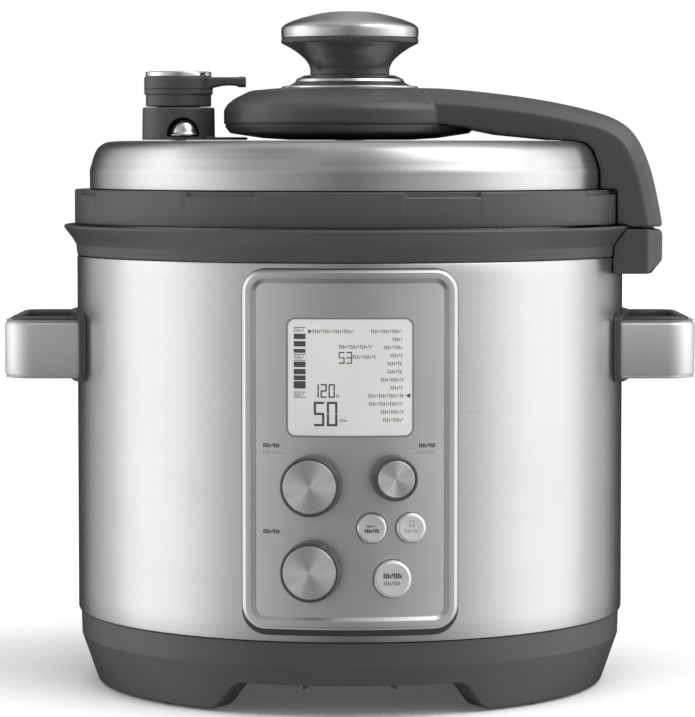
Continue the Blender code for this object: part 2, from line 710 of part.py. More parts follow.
def build_controls(look, axes):
    for name, (offset, height, radius, face_r) in DIALS.items():
        frame = radial_frame(offset, PANEL_Z + height)
        low = FACE_RAISE + DIAL_GAP
        face_z = DIAL_OUT - DIAL_FACE_T
        shaft_z = BOARD_FRONT + 7 * MM - BODY_R
        section = [
            (0, shaft_z),
            (DIAL_SHAFT_R, shaft_z),
            (DIAL_SHAFT_R, low),
            (radius, low),
            (radius, DIAL_OUT - 0.8 * MM),
            (radius - 0.8 * MM, DIAL_OUT),
            (face_r + FIT, DIAL_OUT),
            (face_r + FIT, face_z - FIT),
            (0, face_z - FIT),
        ]
        make(name, placed(turned(section, sides=FINE_SIDES), frame), look["plastic"], axes[name])
        disc = [(0, face_z), (face_r, face_z), (face_r, DIAL_OUT - 0.2 * MM), (0, DIAL_OUT - 0.2 * MM)]
        make(name + "_face", placed(turned(disc, sides=FINE_SIDES), frame), look["steel"], axes[name])
    for name, (offset, height, radius) in BUTTONS.items():
        frame = radial_frame(offset, PANEL_Z + height)
        stem_z = BOARD_FRONT + 6.5 * MM + BUTTON_TRAVEL + 0.5 * MM - BODY_R
        section = [
            (0, stem_z),
            (BUTTON_STEM_R, stem_z),
            (BUTTON_STEM_R, -2.6 * MM),
            (radius, -2.6 * MM),
            (radius, BUTTON_OUT - 0.7 * MM),
            (radius - 0.7 * MM, BUTTON_OUT),
            (0, BUTTON_OUT),
        ]
        make(name, placed(turned(section, sides=FINE_SIDES), frame), look["satin"], axes[name])


def build_boards(look):
    lcd_z, lcd_h = lcd_frame()
    low = (-BOARD_W / 2, -BOARD_FRONT, PANEL_Z + 8 * MM)
    high = (BOARD_W / 2, -BOARD_FRONT + BOARD_T, lcd_z + lcd_h / 2)
    board = make("display_board", block(low, high), look["board"])
    for name, (offset, height, *_) in DIALS.items():
        foot = BOARD_FRONT - 1 * MM - BODY_R
        encoder = rod(6 * MM, foot, BOARD_FRONT + 6.5 * MM - BODY_R, sides=8)
        encoder = placed(encoder, radial_frame(offset, PANEL_Z + height))
        shape(board, make(name + "_encoder", encoder, None, cutter=True), operation="UNION")
    for name, (offset, height, _) in BUTTONS.items():
        foot = BOARD_FRONT - 1 * MM - BODY_R
        switch = rod(3 * MM, foot, BOARD_FRONT + 6.5 * MM - BODY_R, sides=8)
        switch = placed(switch, radial_frame(offset, PANEL_Z + height))
        shape(board, make(name + "_switch", switch, None, cutter=True), operation="UNION")
    deck = BASE_FLOOR_Z + BASE_FLOOR_T + 4 * MM
    power = make("power_board", block((-45 * MM, 20 * MM, deck), (45 * MM, 95 * MM, deck + BOARD_T)), look["board"])
    for number, (x, y, wide, deep, tall) in enumerate(((-25, 50, 26, 30, 18), (20, 40, 20, 16, 14), (22, 75, 16, 20, 12))):
        low = ((x - wide / 2) * MM, (y - deep / 2) * MM, deck + BOARD_T / 2)
        high = ((x + wide / 2) * MM, (y + deep / 2) * MM, deck + BOARD_T + tall * MM)
        shape(power, make(f"component_{number}", block(low, high), None, cutter=True), operation="UNION")


def build_inlet(look):
    outline = rounded(INLET_W, INLET_H, 5 * MM, (0, INLET_Z))
    housing = prism(outline, BODY_R * 0.95, BODY_R + INLET_OUT, "Y")
    inlet = make("power_inlet", housing, look["inner_plastic"])
    shape(inlet, make("inlet_trim", rod(BODY_R + FIT, 0, WRAP_TOP, sides=SIDES), None, cutter=True))
    core = rounded(INLET_W - 6 * MM - 2 * FIT, INLET_H - 6 * MM - 2 * FIT, 3 * MM, (0, INLET_Z))
    back = BODY_R - 8 * MM
    neck = make("inlet_neck", prism(core, back, BODY_R + 4 * MM, "Y"), None, cutter=True)
    shape(inlet, neck, operation="UNION")
    socket = rounded(SOCKET_W, SOCKET_H, 3 * MM, (0, INLET_Z))
    depth = BODY_R + INLET_OUT - SOCKET_DEPTH
    shape(inlet, make("socket", prism(socket, depth, BODY_R + 2 * INLET_OUT, "Y"), None, cutter=True))


# ---- lid --------------------------------------------------------------------------------------
def notch_drop(angle):
    """How far the skirt's top edge is cut down at an angle."""
    pitch = 360 / NOTCHES
    from_front = math.degrees(angle) + 90
    off = (from_front - NOTCH_AT + pitch / 2) % pitch - pitch / 2
    return NOTCH_DEPTH if abs(off) <= NOTCH_HALF + 1e-6 else 0


def skirt_angles():
    angles = []
    for notch in range(NOTCHES):
        middle = NOTCH_AT - 90 + notch * 360 / NOTCHES
        for off in (-NOTCH_HALF - 0.4, -NOTCH_HALF, NOTCH_HALF, NOTCH_HALF + 0.4, 17, 28):
            angles.append(math.radians((middle + off) % 360))
    return sorted(angles)


def skirt_section(angle):
    top = SKIRT_TOP - notch_drop(angle)
    inner_edge = LEDGE_IN
    notch_in = SKIRT_R - 3.1 * MM
    return [
        (SKIRT_IN, SKIRT_Z),
        (SKIRT_R, SKIRT_Z),
        (SKIRT_R, top - 1 * MM),
        (SKIRT_R - 1 * MM, top),
        (notch_in, top),
        (notch_in - 0.2 * MM, SKIRT_TOP),
        (inner_edge, SKIRT_TOP),
        (inner_edge, SKIRT_TOP - SKIRT_LEDGE_T),
        (SKIRT_IN, SKIRT_TOP - SKIRT_LEDGE_T),
    ]


def cover_outside(grow=0.0):
    """The lid cover's outer face from its lower edge up to the flat top, moved out by grow."""
    low = SKIRT_TOP + FIT
    band = low + COVER_BAND_H
    rise = COVER_H - COVER_BAND_H
    shoulder = ((0.8, 0.19), (2, 0.46), (4.2, 0.75), (8, 0.927), (13, 0.98))
    points = [(COVER_R + grow, low), (COVER_R + grow, band)]
    points += [(COVER_R - inward * MM + grow, band + rise * share + grow * share) for inward, share in shoulder]
    return [*points, (COVER_R - 53 * MM, COVER_TOP + grow)]


def build_lid_shells(look, lid):
    make("lid_skirt", turned(skirt_section, skirt_angles()), look["plastic"], lid)
    outside = cover_outside()
    inside = [(r - COVER_WALL, z) for r, z in (outside[0], outside[2])]
    inside += [(r - COVER_WALL * 0.8, z - COVER_WALL * 0.8) for r, z in outside[3:6]]
    inside.append((outside[-1][0], COVER_TOP - COVER_WALL))
    hole = SHAFT_R + 5 * MM
    section = [*outside, (hole, COVER_TOP), (hole, COVER_TOP - COVER_WALL), *reversed(inside)]
    cover = make("lid_cover", turned(section), look["steel"], lid)
    pipe_hole = rod(PIPE_R + FIT, COVER_TOP - 9 * MM, COVER_TOP + 5 * MM, (VALVE_X, 0))
    shape(cover, make("cover_pipe_hole", pipe_hole, None, cutter=True))
    wall_out = LEDGE_IN - RUN - FIT
    wall_in = LOCK_R + RUN
    section = [
        (SHAFT_R + RUN, LINER_Z),
        (wall_in, LINER_Z),
        (wall_in, LOCK_PLATE_Z - 7 * MM),
        (wall_out, LOCK_PLATE_Z - 7 * MM),
        (wall_out, LINER_Z + LINER_T),
        (SHAFT_R + RUN, LINER_Z + LINER_T),
    ]
    liner = make("lid_liner", turned(section, sides=MID_SIDES), look["inner_plastic"], lid)
    pipe_hole = rod(PIPE_R + FIT, LINER_Z - 5 * MM, LINER_Z + 9 * MM, (VALVE_X, 0))
    shape(liner, make("liner_pipe_hole", pipe_hole, None, cutter=True))


def build_inner_lid(look, lid):
    low = INNER_LID_Z
    sheet = 1.2 * MM
    rim_in = POT_R + 8.7 * MM - sheet
    crown = 4.2 * MM
    groove = POT_R - 8 * MM
    section = [
        (SHAFT_R * 0.65 + RUN, low),
        (groove - 4.5 * MM, low),
        (groove, low + crown),
        (rim_in, low + crown),
        (rim_in, low + 0.4 * MM),
        (rim_in + sheet, low + 0.4 * MM),
        (rim_in + sheet, low + crown + sheet),
        (groove - 0.6 * MM, low + crown + sheet),
        (groove - 5.1 * MM, low + sheet),
        (SHAFT_R * 0.65 + RUN, low + sheet),
    ]
    inner = make("inner_lid", turned(section, sides=MID_SIDES), look["polished"], lid)
    pipe_hole = rod(PIPE_R + FIT, low - 5 * MM, low + 5 * MM, (VALVE_X, 0))
    shape(inner, make("inner_lid_pipe_hole", pipe_hole, None, cutter=True))
    float_hole = rod(FLOAT_R + 0.6 * MM, low - 5 * MM, low + 5 * MM, float_place())
    shape(inner, make("inner_lid_float_hole", float_hole, None, cutter=True))
    seal_out = rim_in - FIT
    seal_z = RIM_TOP + FIT
    roof = low + crown - FIT
    section = [
        (groove + 2.6 * MM, roof),
        (groove + 2.6 * MM, roof - 1.8 * MM),
        (POT_R + 1 * MM, seal_z + 1.4 * MM),
        (POT_R + 1.4 * MM, seal_z),
        (seal_out - 1 * MM, seal_z),
        (seal_out, seal_z + 1 * MM),
        (seal_out, roof),
    ]
    make("sealing_gasket", turned(section, sides=MID_SIDES), look["silicone"], lid)


# ---- arm --------------------------------------------------------------------------------------
def arm_top_line():
    """The arm's upper edge in the XZ plane, from the hub out and down to the hinge seam."""
    seam = SEAM_Z
    far = BODY_R
    points = (
        (20 * MM, seam + 18.3 * MM),
        (50 * MM, seam + 17.8 * MM),
        (far - 50.6 * MM, seam + 13.4 * MM),
        (far - 20.3 * MM, seam + 7.3 * MM),
        (far - 4 * MM, seam + 1.2 * MM),
        (far + 5 * MM, seam - 8 * MM),
        (far + 11.3 * MM, seam - 23 * MM),
        (ARM_OUT - 1.7 * MM, seam - 41 * MM),
        (ARM_OUT, ARM_FOOT),
    )
    return smooth_line(points, 2)


def inset_line(line, amount):
    """The line moved toward its inner side, square to its run. The end keeps its height."""
    moved = []
    for index, point in enumerate(line):
        before = line[max(index - 1, 0)]
        after = line[min(index + 1, len(line) - 1)]
        run = Vector((after[0] - before[0], after[1] - before[1])).normalized()
        moved.append((point[0] + run[1] * amount, point[1] - run[0] * amount))
    moved[-1] = (line[-1][0] - amount, line[-1][1])
    return moved


def lid_envelope():
    """The space that the hub's lower shell, the cover, the skirt and the collar fill, with a fit all round."""
    shoulder = cover_outside(FIT)
    low = ARM_FOOT - 10 * MM
    lip_r = BODY_R + COLLAR_FLARE + 0.8 * MM
    lip_z = COLLAR_TOP + 0.6 * MM
    return [
        (0, low),
        (lip_r, low),
        (lip_r, lip_z),
        (SKIRT_R + 2 * FIT, lip_z),
        (SKIRT_R + 2 * FIT, SKIRT_TOP + FIT),
        (COVER_R + FIT, SKIRT_TOP + FIT),
        *shoulder[1:-1],
        (HUB_R + 0.1 * MM, COVER_TOP + FIT),
        (HUB_R + 0.1 * MM, SEAM_Z + FIT),
        (0, SEAM_Z + FIT),
    ]


def build_arm(look, lid):
    upper = arm_top_line()
    lower = [
        (BODY_R - 36 * MM, ARM_FOOT),
        (BODY_R - 37 * MM, COVER_TOP + FIT),
        (HUB_R + 11.3 * MM, COVER_TOP + 3 * MM),
        (HUB_R - 6.7 * MM, COVER_TOP + 6.6 * MM),
        (HUB_R - 20 * MM, SEAM_Z + FIT),
        (20 * MM, SEAM_Z + FIT),
    ]
    full = upper + lower
    trimmed = inset_line(upper, ARM_CHAMFER) + lower
    flank = ARM_HALF - ARM_SIDE
    stations = ((-ARM_HALF, trimmed), (-flank, full), (flank, full), (ARM_HALF, trimmed))
    arm = make("arm_top", loft([[(x, y, z) for x, z in line] for y, line in stations]), look["plastic"], lid)
    hub = [
        (0, SEAM_Z),
        (HUB_R, SEAM_Z),
        (HUB_R, SEAM_Z + 7.6 * MM),
        (HUB_R - 1.8 * MM, SEAM_Z + 10.6 * MM),
        (HUB_R - 5.4 * MM, SEAM_Z + 13.5 * MM),
        (HUB_R - 13.7 * MM, SEAM_Z + 17.6 * MM),
        (HUB_R - 29.7 * MM, HUB_TOP),
        (0, HUB_TOP),
    ]
    shape(arm, make("hub_disc", turned(hub, sides=MID_SIDES), None, cutter=True), operation="UNION")
    shape(arm, make("lid_space", turned(lid_envelope()), None, cutter=True))
    pocket = [
        (SHAFT_R + 12 * MM, SEAM_Z - 1 * MM),
        (HUB_R - 5 * MM, SEAM_Z - 1 * MM),
        (HUB_R - 5 * MM, SEAM_Z + 7 * MM),
        (HUB_R - 12 * MM, SEAM_Z + 13 * MM),
        (SHAFT_R + 12 * MM, SEAM_Z + 15 * MM),
    ]
    shape(arm, make("hub_pocket", turned(pocket, sides=FINE_SIDES), None, cutter=True))
    bore = rod(SHAFT_R + 5 * MM, SEAM_Z - 9 * MM, HUB_TOP + 9 * MM, sides=FINE_SIDES)
    shape(arm, make("arm_bore", bore, None, cutter=True))
    low = (HINGE_X - BARREL_R - FIT + 0.2 * MM, -KNUCKLE_HALF - FIT, ARM_FOOT - 5 * MM)
    high = (HINGE_X + LEAF_OUT + FIT, KNUCKLE_HALF + FIT, ARM_FOOT + LEAF_H + FIT)
    shape(arm, make("knuckle_pocket", block(low, high), None, cutter=True))
    bowl = [
        (SHAFT_R + 5 * MM, COVER_TOP + FIT),
        (31 * MM, COVER_TOP + FIT),
        (45 * MM, COVER_TOP + 1.3 * MM),
        (HUB_R - 3.1 * MM, COVER_TOP + 3.8 * MM),
        (HUB_R - 0.3 * MM, SEAM_Z - FIT),
        (HUB_R - 3 * MM, SEAM_Z - FIT),
        (HUB_R - 6 * MM, COVER_TOP + 5.8 * MM),
        (45 * MM, COVER_TOP + 3.4 * MM),
        (31 * MM, COVER_TOP + 2.5 * MM),
        (SHAFT_R + 8 * MM, COVER_TOP + 2.5 * MM),
        (SHAFT_R + 8 * MM, SEAM_Z - FIT),
        (SHAFT_R + 5 * MM, SEAM_Z - FIT),
    ]
    make("arm_bottom", turned(bowl, sides=MID_SIDES), look["plastic"], lid)
    ring = [
        (SHAFT_R + 5 * MM, HUB_TOP + FIT),
        (KNOB_R - 0.2 * MM, HUB_TOP + FIT),
        (KNOB_R - 0.2 * MM, HUB_TOP + 1 * MM),
        (KNOB_R - 4.2 * MM, HUB_TOP + 1.7 * MM),
        (KNOB_R - 7 * MM, HUB_TOP + 3.4 * MM),
        (KNOB_R - 8.7 * MM, HUB_TOP + 5.4 * MM),
        (KNOB_R - 10.2 * MM, HUB_TOP + 6.4 * MM),
        (SHAFT_R + 5 * MM, HUB_TOP + 6.4 * MM),
    ]
    make("hub_ring", turned(ring, sides=FINE_SIDES), look["polished"], lid)


# ---- knob and lock ----------------------------------------------------------------------------
def build_lock(look, lock):
    lip = KNOB_Z
    band = lip + 3.1 * MM
    cap = [
        (0, lip + 17 * MM),
        (12 * MM, lip + 16.4 * MM),
        (24 * MM, lip + 13.9 * MM),
        (KNOB_R - 4 * MM, lip + 11.4 * MM),
        (KNOB_R - 0.6 * MM, lip + 9.4 * MM),
        (KNOB_R, lip + 8 * MM),
        (KNOB_R, band + FIT),
        (KNOB_R - KNOB_CAP_WALL, band + FIT),
        (KNOB_R - KNOB_CAP_WALL, lip + 7.6 * MM),
        (KNOB_R - 5 * MM, lip + 10 * MM),
        (12 * MM, lip + 15.1 * MM),
        (0, lip + 15.8 * MM),
    ]
    make("knob_cap", turned(cap, sides=MID_SIDES), look["steel"], lock)
    bore = SHAFT_R + FIT
    neck_z = HUB_TOP + 6.8 * MM
    body = [
        (0, lip + 8.6 * MM),
        (KNOB_R - 6 * MM, lip + 8.6 * MM),
        (KNOB_R - KNOB_CAP_WALL - FIT, lip + 6.4 * MM),
        (KNOB_R - KNOB_CAP_WALL - FIT, band),
        (KNOB_R, band),
        (KNOB_R, lip + 1 * MM),
        (KNOB_R - 1 * MM, lip),
        (NECK_R + 9.6 * MM, lip - 2.1 * MM),
        (NECK_R + 5.1 * MM, lip - 5.3 * MM),
        (NECK_R + 1.6 * MM, lip - 8.8 * MM),
        (NECK_R, lip - 12.3 * MM),
        (NECK_R, neck_z),
        (bore, neck_z),
        (bore, lip + 4 * MM),
        (0, lip + 4 * MM),
    ]
    make("knob_body", turned(body[::-1], sides=MID_SIDES), look["plastic"], lock)
    step = INNER_LID_Z + 3 * MM
    foot = INNER_LID_Z - 5.5 * MM
    thin = SHAFT_R * 0.65
    shaft = [(0, foot), (thin, foot), (thin, step), (SHAFT_R, step), (SHAFT_R, lip + 3.6 * MM), (0, lip + 3.6 * MM)]
    make("knob_shaft", turned(shaft, sides=SMALL_SIDES), look["steel"], lock)
    clip_z = LINER_Z + LINER_T + 0.8 * MM
    clip = tube(SHAFT_R + FIT, SHAFT_R + 3.5 * MM, clip_z, clip_z + 1.2 * MM, sides=SMALL_SIDES)
    make("shaft_circlip", clip, look["spring"], lock)
    nut = [
        (thin + FIT, INNER_LID_Z - 6 * MM),
        (9 * MM, INNER_LID_Z - 6 * MM),
        (11 * MM, INNER_LID_Z - 4.5 * MM),
        (11 * MM, INNER_LID_Z - 0.8 * MM),
        (thin + FIT, INNER_LID_Z - 0.8 * MM),
    ]
    make("inner_lid_nut", turned(nut, sides=SMALL_SIDES), look["polished"], lock)
    hook_shift = 180 / TEETH

    def ring_section(angle):
        hook = HOOK_R if near_tooth(angle, hook_shift) else LOCK_IN - 0.1 * MM
        return [
            (SHAFT_R + FIT, LOCK_PLATE_Z),
            (LOCK_IN, LOCK_PLATE_Z),
            (LOCK_IN, HOOK_TOP),
            (hook, HOOK_TOP),
            (hook, HOOK_TOP - HOOK_T),
            (LOCK_R, HOOK_TOP - HOOK_T),
            (LOCK_R, LOCK_PLATE_Z + LOCK_PLATE_T),
            (SHAFT_R + FIT, LOCK_PLATE_Z + LOCK_PLATE_T),
        ]

    ring = make("lock_ring", turned(ring_section, tooth_angles(hook_shift)), look["steel"], lock)
    pitch = 360 / SPOKES
    for window in range(SPOKES):
        start = SPOKE_AT + window * pitch + SPOKE_HALF
        end = start + pitch - 2 * SPOKE_HALF
        outer = corner((0, 0), LOCK_IN - 12 * MM, start, end, 6)
        inner = corner((0, 0), SHAFT_R + 14 * MM, end, start, 3)
        opening = prism(outer + inner, LOCK_PLATE_Z - 2 * MM, LOCK_PLATE_Z + 2 * LOCK_PLATE_T)
        shape(ring, make(f"lock_window_{window}", opening, None, cutter=True))


# ---- steam and float valves -------------------------------------------------------------------
def float_place():
    radius, degrees = FLOAT_AT
    return (radius * math.cos(math.radians(degrees)), radius * math.sin(math.radians(degrees)))


def build_valve(look, lid, valve, floater):
    low = VALVE_Z
    top = low + VALVE_BASE_H
    at = (VALVE_X, 0)
    wall = 3.2 * MM
    seat = VALVE_R - 6.7 * MM
    tube_section = [
        (PIPE_R + FIT, low),
        (VALVE_R, low),
        (VALVE_R, top),
        (seat, top),
        (seat, top - 3 * MM),
        (VALVE_R - wall, top - 3 * MM),
        (VALVE_R - wall, low + 2 * MM),
        (PIPE_R + FIT, low + 2 * MM),
    ]
    base = make("valve_base", turned(tube_section, centre=at, sides=FINE_SIDES), look["plastic"], lid)
    reach = VALVE_X + VALVE_R + 16.5 * MM
    tongue = block((VALVE_X + VALVE_R - 2 * MM, -12 * MM, low), (reach, 12 * MM, low + 1.2 * MM))
    shape(base, make("valve_tongue", tongue, None, cutter=True), operation="UNION")
    spout_x = VALVE_X + 3 * MM
    spout_y = -(VALVE_R - SPOUT_R - 0.5 * MM)
    half = SPOUT_R + 1 * MM
    spout_z = low + 2 * MM
    arch = [(spout_x - half, spout_z), (spout_x + half, spout_z)]
    arch += [
        (spout_x + half * math.cos(turn), spout_z + (SPOUT_H + 1.2 * MM) * math.sin(turn))
        for turn in (math.pi * step / 8 for step in range(1, 8))
    ]
    window = prism(arch, -VALVE_R - 5 * MM, -VALVE_R / 2, "Y")
    shape(base, make("spout_window", window, None, cutter=True))
    dome = [(0, spout_z + FIT), (SPOUT_R, spout_z + FIT)]
    dome += [
        (SPOUT_R * math.cos(turn), spout_z + FIT + 1 * MM + (SPOUT_H - 1 * MM) * math.sin(turn))
        for turn in (math.pi / 2 * step / 5 for step in range(0, 6))
    ]
    dome[-1] = (0, dome[-1][1])
    make("steam_spout", turned(dome, centre=(spout_x, spout_y), sides=SMALL_SIDES), look["polished"], lid)
    pipe_top = top - 3.6 * MM
    pipe = tube(PIPE_BORE, PIPE_R, INNER_LID_Z - 6 * MM, pipe_top, at)
    make("steam_pipe", pipe, look["polished"], lid)
    cap_low = INNER_LID_Z - 11 * MM
    cap_top = INNER_LID_Z - FIT
    filter_r = 11 * MM
    strainer = [
        (PIPE_R + FIT, cap_top),
        (PIPE_R + FIT, INNER_LID_Z - 7 * MM),
        (filter_r - 2 * MM, INNER_LID_Z - 7 * MM),
        (filter_r - 2 * MM, cap_low + 1.6 * MM),
        (2 * MM, cap_low + 1.6 * MM),
        (2 * MM, cap_low),
        (filter_r - 2 * MM, cap_low),
        (filter_r, cap_low + 2 * MM),
        (filter_r, cap_top),
    ]
    make("steam_filter", turned(strainer, centre=at, sides=SMALL_SIDES), look["polished"], lid)
    head_low = top + FIT
    head_mid = head_low + VALVE_NECK_H
    head_top = head_mid + VALVE_HEAD_H
    plug = [
        (0, top - 2.4 * MM),
        (seat - RUN, top - 2.4 * MM),
        (seat - RUN, head_low),
        (VALVE_HEAD_R - 0.8 * MM, head_low),
        (VALVE_HEAD_R - 0.8 * MM, head_mid),
        (VALVE_HEAD_R, head_mid + 0.2 * MM),
        (VALVE_HEAD_R, head_top),
        (0, head_top),
    ]
    head = make("valve_head", turned(plug, centre=at, sides=FINE_SIDES), look["plastic"], valve)
    half = VALVE_LEVER_HALF
    lever_low = head_top - VALVE_LEVER_H
    far = VALVE_X + VALVE_LEVER_X
    near = VALVE_X + VALVE_HEAD_R - 4 * MM
    outline = [(near, -half * 1.5), (near + 9 * MM, -half), (far, -half), (far, half), (near + 9 * MM, half)]
    lever = prism([*outline, (near, half * 1.5)], lever_low, head_top - 0.2 * MM)
    shape(head, make("valve_lever", lever, None, cutter=True), operation="UNION")
    cap_r = VALVE_HEAD_R - 0.7 * MM
    disc = [
        (0, head_top + FIT),
        (cap_r, head_top + FIT),
        (cap_r, head_top + VALVE_CAP_H - 0.6 * MM),
        (cap_r - 0.6 * MM, head_top + VALVE_CAP_H),
        (0, head_top + VALVE_CAP_H),
    ]
    make("valve_cap", turned(disc, centre=at, sides=FINE_SIDES), look["polished"], valve)
    place = float_place()
    flange_low = INNER_LID_Z - FLOAT_TRAVEL - 4.2 * MM
    pin = [
        (0, flange_low),
        (5 * MM, flange_low),
        (5 * MM, flange_low + 1.6 * MM),
        (FLOAT_R, flange_low + 1.6 * MM),
        (FLOAT_R, LOCK_PLATE_Z - 0.7 * MM),
        (0, LOCK_PLATE_Z - 0.7 * MM),
    ]
    make("float_pin", turned(pin, centre=place, sides=SMALL_SIDES), look["polished"], floater)
    seal_low = flange_low + 1.6 * MM + FIT
    seal = tube(FLOAT_R + FIT, 5 * MM, seal_low, seal_low + 1.6 * MM, place, sides=SMALL_SIDES)
    make("float_seal", seal, look["silicone"], floater)


# ---- hinge ------------------------------------------------------------------------------------
def build_hinge(look, lid):
    """The fixed block is open to the outside in its middle, where the lid's knuckle turns."""
    low = BLOCK_TOP - BLOCK_H
    inner = BODY_R - 12 * MM
    round_edge = corner((HINGE_X, HINGE_Z), BARREL_R - 0.1 * MM, 0, 50, 4)
    side = [
        (inner, BLOCK_TOP),
        (inner, low),
        (ARM_OUT - 5.2 * MM, low),
        (ARM_OUT - 0.1 * MM, low + BLOCK_CHAMFER),
        *round_edge,
        (HINGE_X - 1 * MM, BLOCK_TOP),
    ]
    cut_in = [(min(x, ARM_OUT - ARM_CHAMFER), z) for x, z in side]
    flank = ARM_HALF - ARM_SIDE
    stations = ((-ARM_HALF, cut_in), (-flank, side), (flank, side), (ARM_HALF, cut_in))
    fixed = make("hinge_block", loft([[(x, y, z) for x, z in line] for y, line in stations]), look["plastic"])
    body = [(0, 0), (BODY_R + FIT, 0), (BODY_R + FIT, WRAP_TOP)]
    body += [(r + FIT, z) for r, z in collar_outside()[1:]]
    body += [(BODY_R + COLLAR_FLARE + FIT, BLOCK_TOP + 9 * MM), (0, BLOCK_TOP + 9 * MM)]
    shape(fixed, make("block_trim", turned(body), None, cutter=True))
    gap = KNUCKLE_HALF + 0.6 * MM
    notch_low = (HINGE_X - BARREL_R - 0.5 * MM, -gap, HINGE_Z - BARREL_R - 0.6 * MM)
    notch_high = (ARM_OUT + 9 * MM, gap, BLOCK_TOP + 9 * MM)
    shape(fixed, make("knuckle_notch", block(notch_low, notch_high), None, cutter=True))
    turn = Matrix.Translation((HINGE_X, 0, HINGE_Z)) @ Matrix.Rotation(math.radians(90), 4, "X")
    pin_half = ARM_HALF - ARM_SIDE - 1 * MM
    hole = placed(rod(PIN_R + FIT, -pin_half - FIT, pin_half + FIT, sides=16), turn)
    shape(fixed, make("pin_hole", hole, None, cutter=True))
    make("hinge_pin", placed(rod(PIN_R, -pin_half, pin_half, sides=16), turn), look["spring"])
    barrel = corner((HINGE_X, HINGE_Z), BARREL_R, 180, 360, 10)
    leaf = [*barrel, (HINGE_X + BARREL_R, HINGE_Z + 1 * MM), (HINGE_X + LEAF_OUT, ARM_FOOT)]
    leaf += [(HINGE_X + LEAF_OUT, ARM_FOOT + LEAF_H), (HINGE_X - BARREL_R + 0.2 * MM, ARM_FOOT + LEAF_H)]
    knuckle = make("hinge_knuckle", prism(leaf, -KNUCKLE_HALF, KNUCKLE_HALF, "Y"), look["cast"], lid)
    bore = placed(rod(PIN_R + FIT, -ARM_HALF, ARM_HALF, sides=16), turn)
    shape(knuckle, make("knuckle_bore", bore, None, cutter=True))


def main():
    for old in list(bpy.data.objects):
        bpy.data.objects.remove(old, do_unlink=True)
    look = looks()
    lid = axis_empty("lid_axis", (HINGE_X, 0, HINGE_Z))
    lock = axis_empty("lock_axis", (0, 0, HUB_TOP), lid)
    valve = axis_empty("valve_axis", (VALVE_X, 0, VALVE_Z), lid)
    floater = axis_empty("float_axis", (*float_place(), INNER_LID_Z), lid)
    sensor = axis_empty("sensor_axis", (0, 0, POT_FLOOR_Z))
    axes = {}
    for name, (offset, height, *_) in {**DIALS, **BUTTONS}.items():
        axes[name] = axis_empty(name + "_axis", radial_frame(offset, PANEL_Z + height).translation)
    build_base(look)
    build_wrap(look)
    build_collar(look)
    build_pots(look)
    build_heater(look, sensor)
    build_handles(look)
    build_panel(look)
    build_controls(look, axes)
    build_boards(look)
    build_inlet(look)
    build_lid_shells(look, lid)
    build_inner_lid(look, lid)
    build_arm(look, lid)
    build_lock(look, lock)
    build_valve(look, lid, valve, floater)
    build_hinge(look, lid)


main()
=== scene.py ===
"""Looks of the electric pressure cooker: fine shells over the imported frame, finishes, studio and camera.

Metres, in the frame's own axes: +Z up, -Y to the front, +X to the hinge side. Levels and radii are read
from the frame; the named sizes below are what the fine shapes add to it.
"""

import math

import bmesh
import bpy
import numpy as np
from mathutils import Matrix, Vector


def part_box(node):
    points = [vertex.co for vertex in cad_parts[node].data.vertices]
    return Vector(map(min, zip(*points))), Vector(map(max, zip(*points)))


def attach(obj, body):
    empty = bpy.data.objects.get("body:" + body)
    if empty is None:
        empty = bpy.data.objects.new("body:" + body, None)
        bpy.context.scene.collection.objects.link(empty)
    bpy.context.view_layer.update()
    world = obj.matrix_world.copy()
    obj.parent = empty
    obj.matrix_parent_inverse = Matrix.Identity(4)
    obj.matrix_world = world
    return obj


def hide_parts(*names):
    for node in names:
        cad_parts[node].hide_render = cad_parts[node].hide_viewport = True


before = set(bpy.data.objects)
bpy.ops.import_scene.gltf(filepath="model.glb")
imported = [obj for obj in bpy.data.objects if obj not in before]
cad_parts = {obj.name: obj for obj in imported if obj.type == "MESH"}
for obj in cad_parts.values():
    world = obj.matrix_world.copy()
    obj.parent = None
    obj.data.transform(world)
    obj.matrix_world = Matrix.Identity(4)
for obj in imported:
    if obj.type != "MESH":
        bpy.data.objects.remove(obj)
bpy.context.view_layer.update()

MM = 0.001
TURN_SIDES = 192  # sides of the large turned pieces
BODY_SIDES = 240  # sides of the base and the wrap, whose outline changes round the body
MID_TURN_SIDES = 96
SMALL_TURN_SIDES = 72
EDGE_ANGLE = 38  # degrees; a sharper edge keeps its crease in the shading
STRIP = 2.5 * MM  # width of the strips that a curved plate is made of
MERGE = 0.001 * MM  # points this close are one
PRINT_DEEP = 0.1 * MM  # how far printed marks reach into the face they lie on
PRINT_RISE = 0.05 * MM  # how far bold print stands out of it
FINE_RISE = 0.04 * MM  # fine print, lower so that the two never lie in one plane


# ---- sizes read from the frame ----------------------------------------------------------------
def node_points(node):
    return np.array([vertex.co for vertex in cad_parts[node].data.vertices], float)


def reach(node, centre=(0.0, 0.0)):
    """The node's largest distance from a vertical axis."""
    points = node_points(node)
    return float(np.hypot(points[:, 0] - centre[0], points[:, 1] - centre[1]).max())


def levels(node):
    low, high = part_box(node)
    return low.z, high.z


def middle_of(node):
    low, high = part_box(node)
    return (low + high) / 2


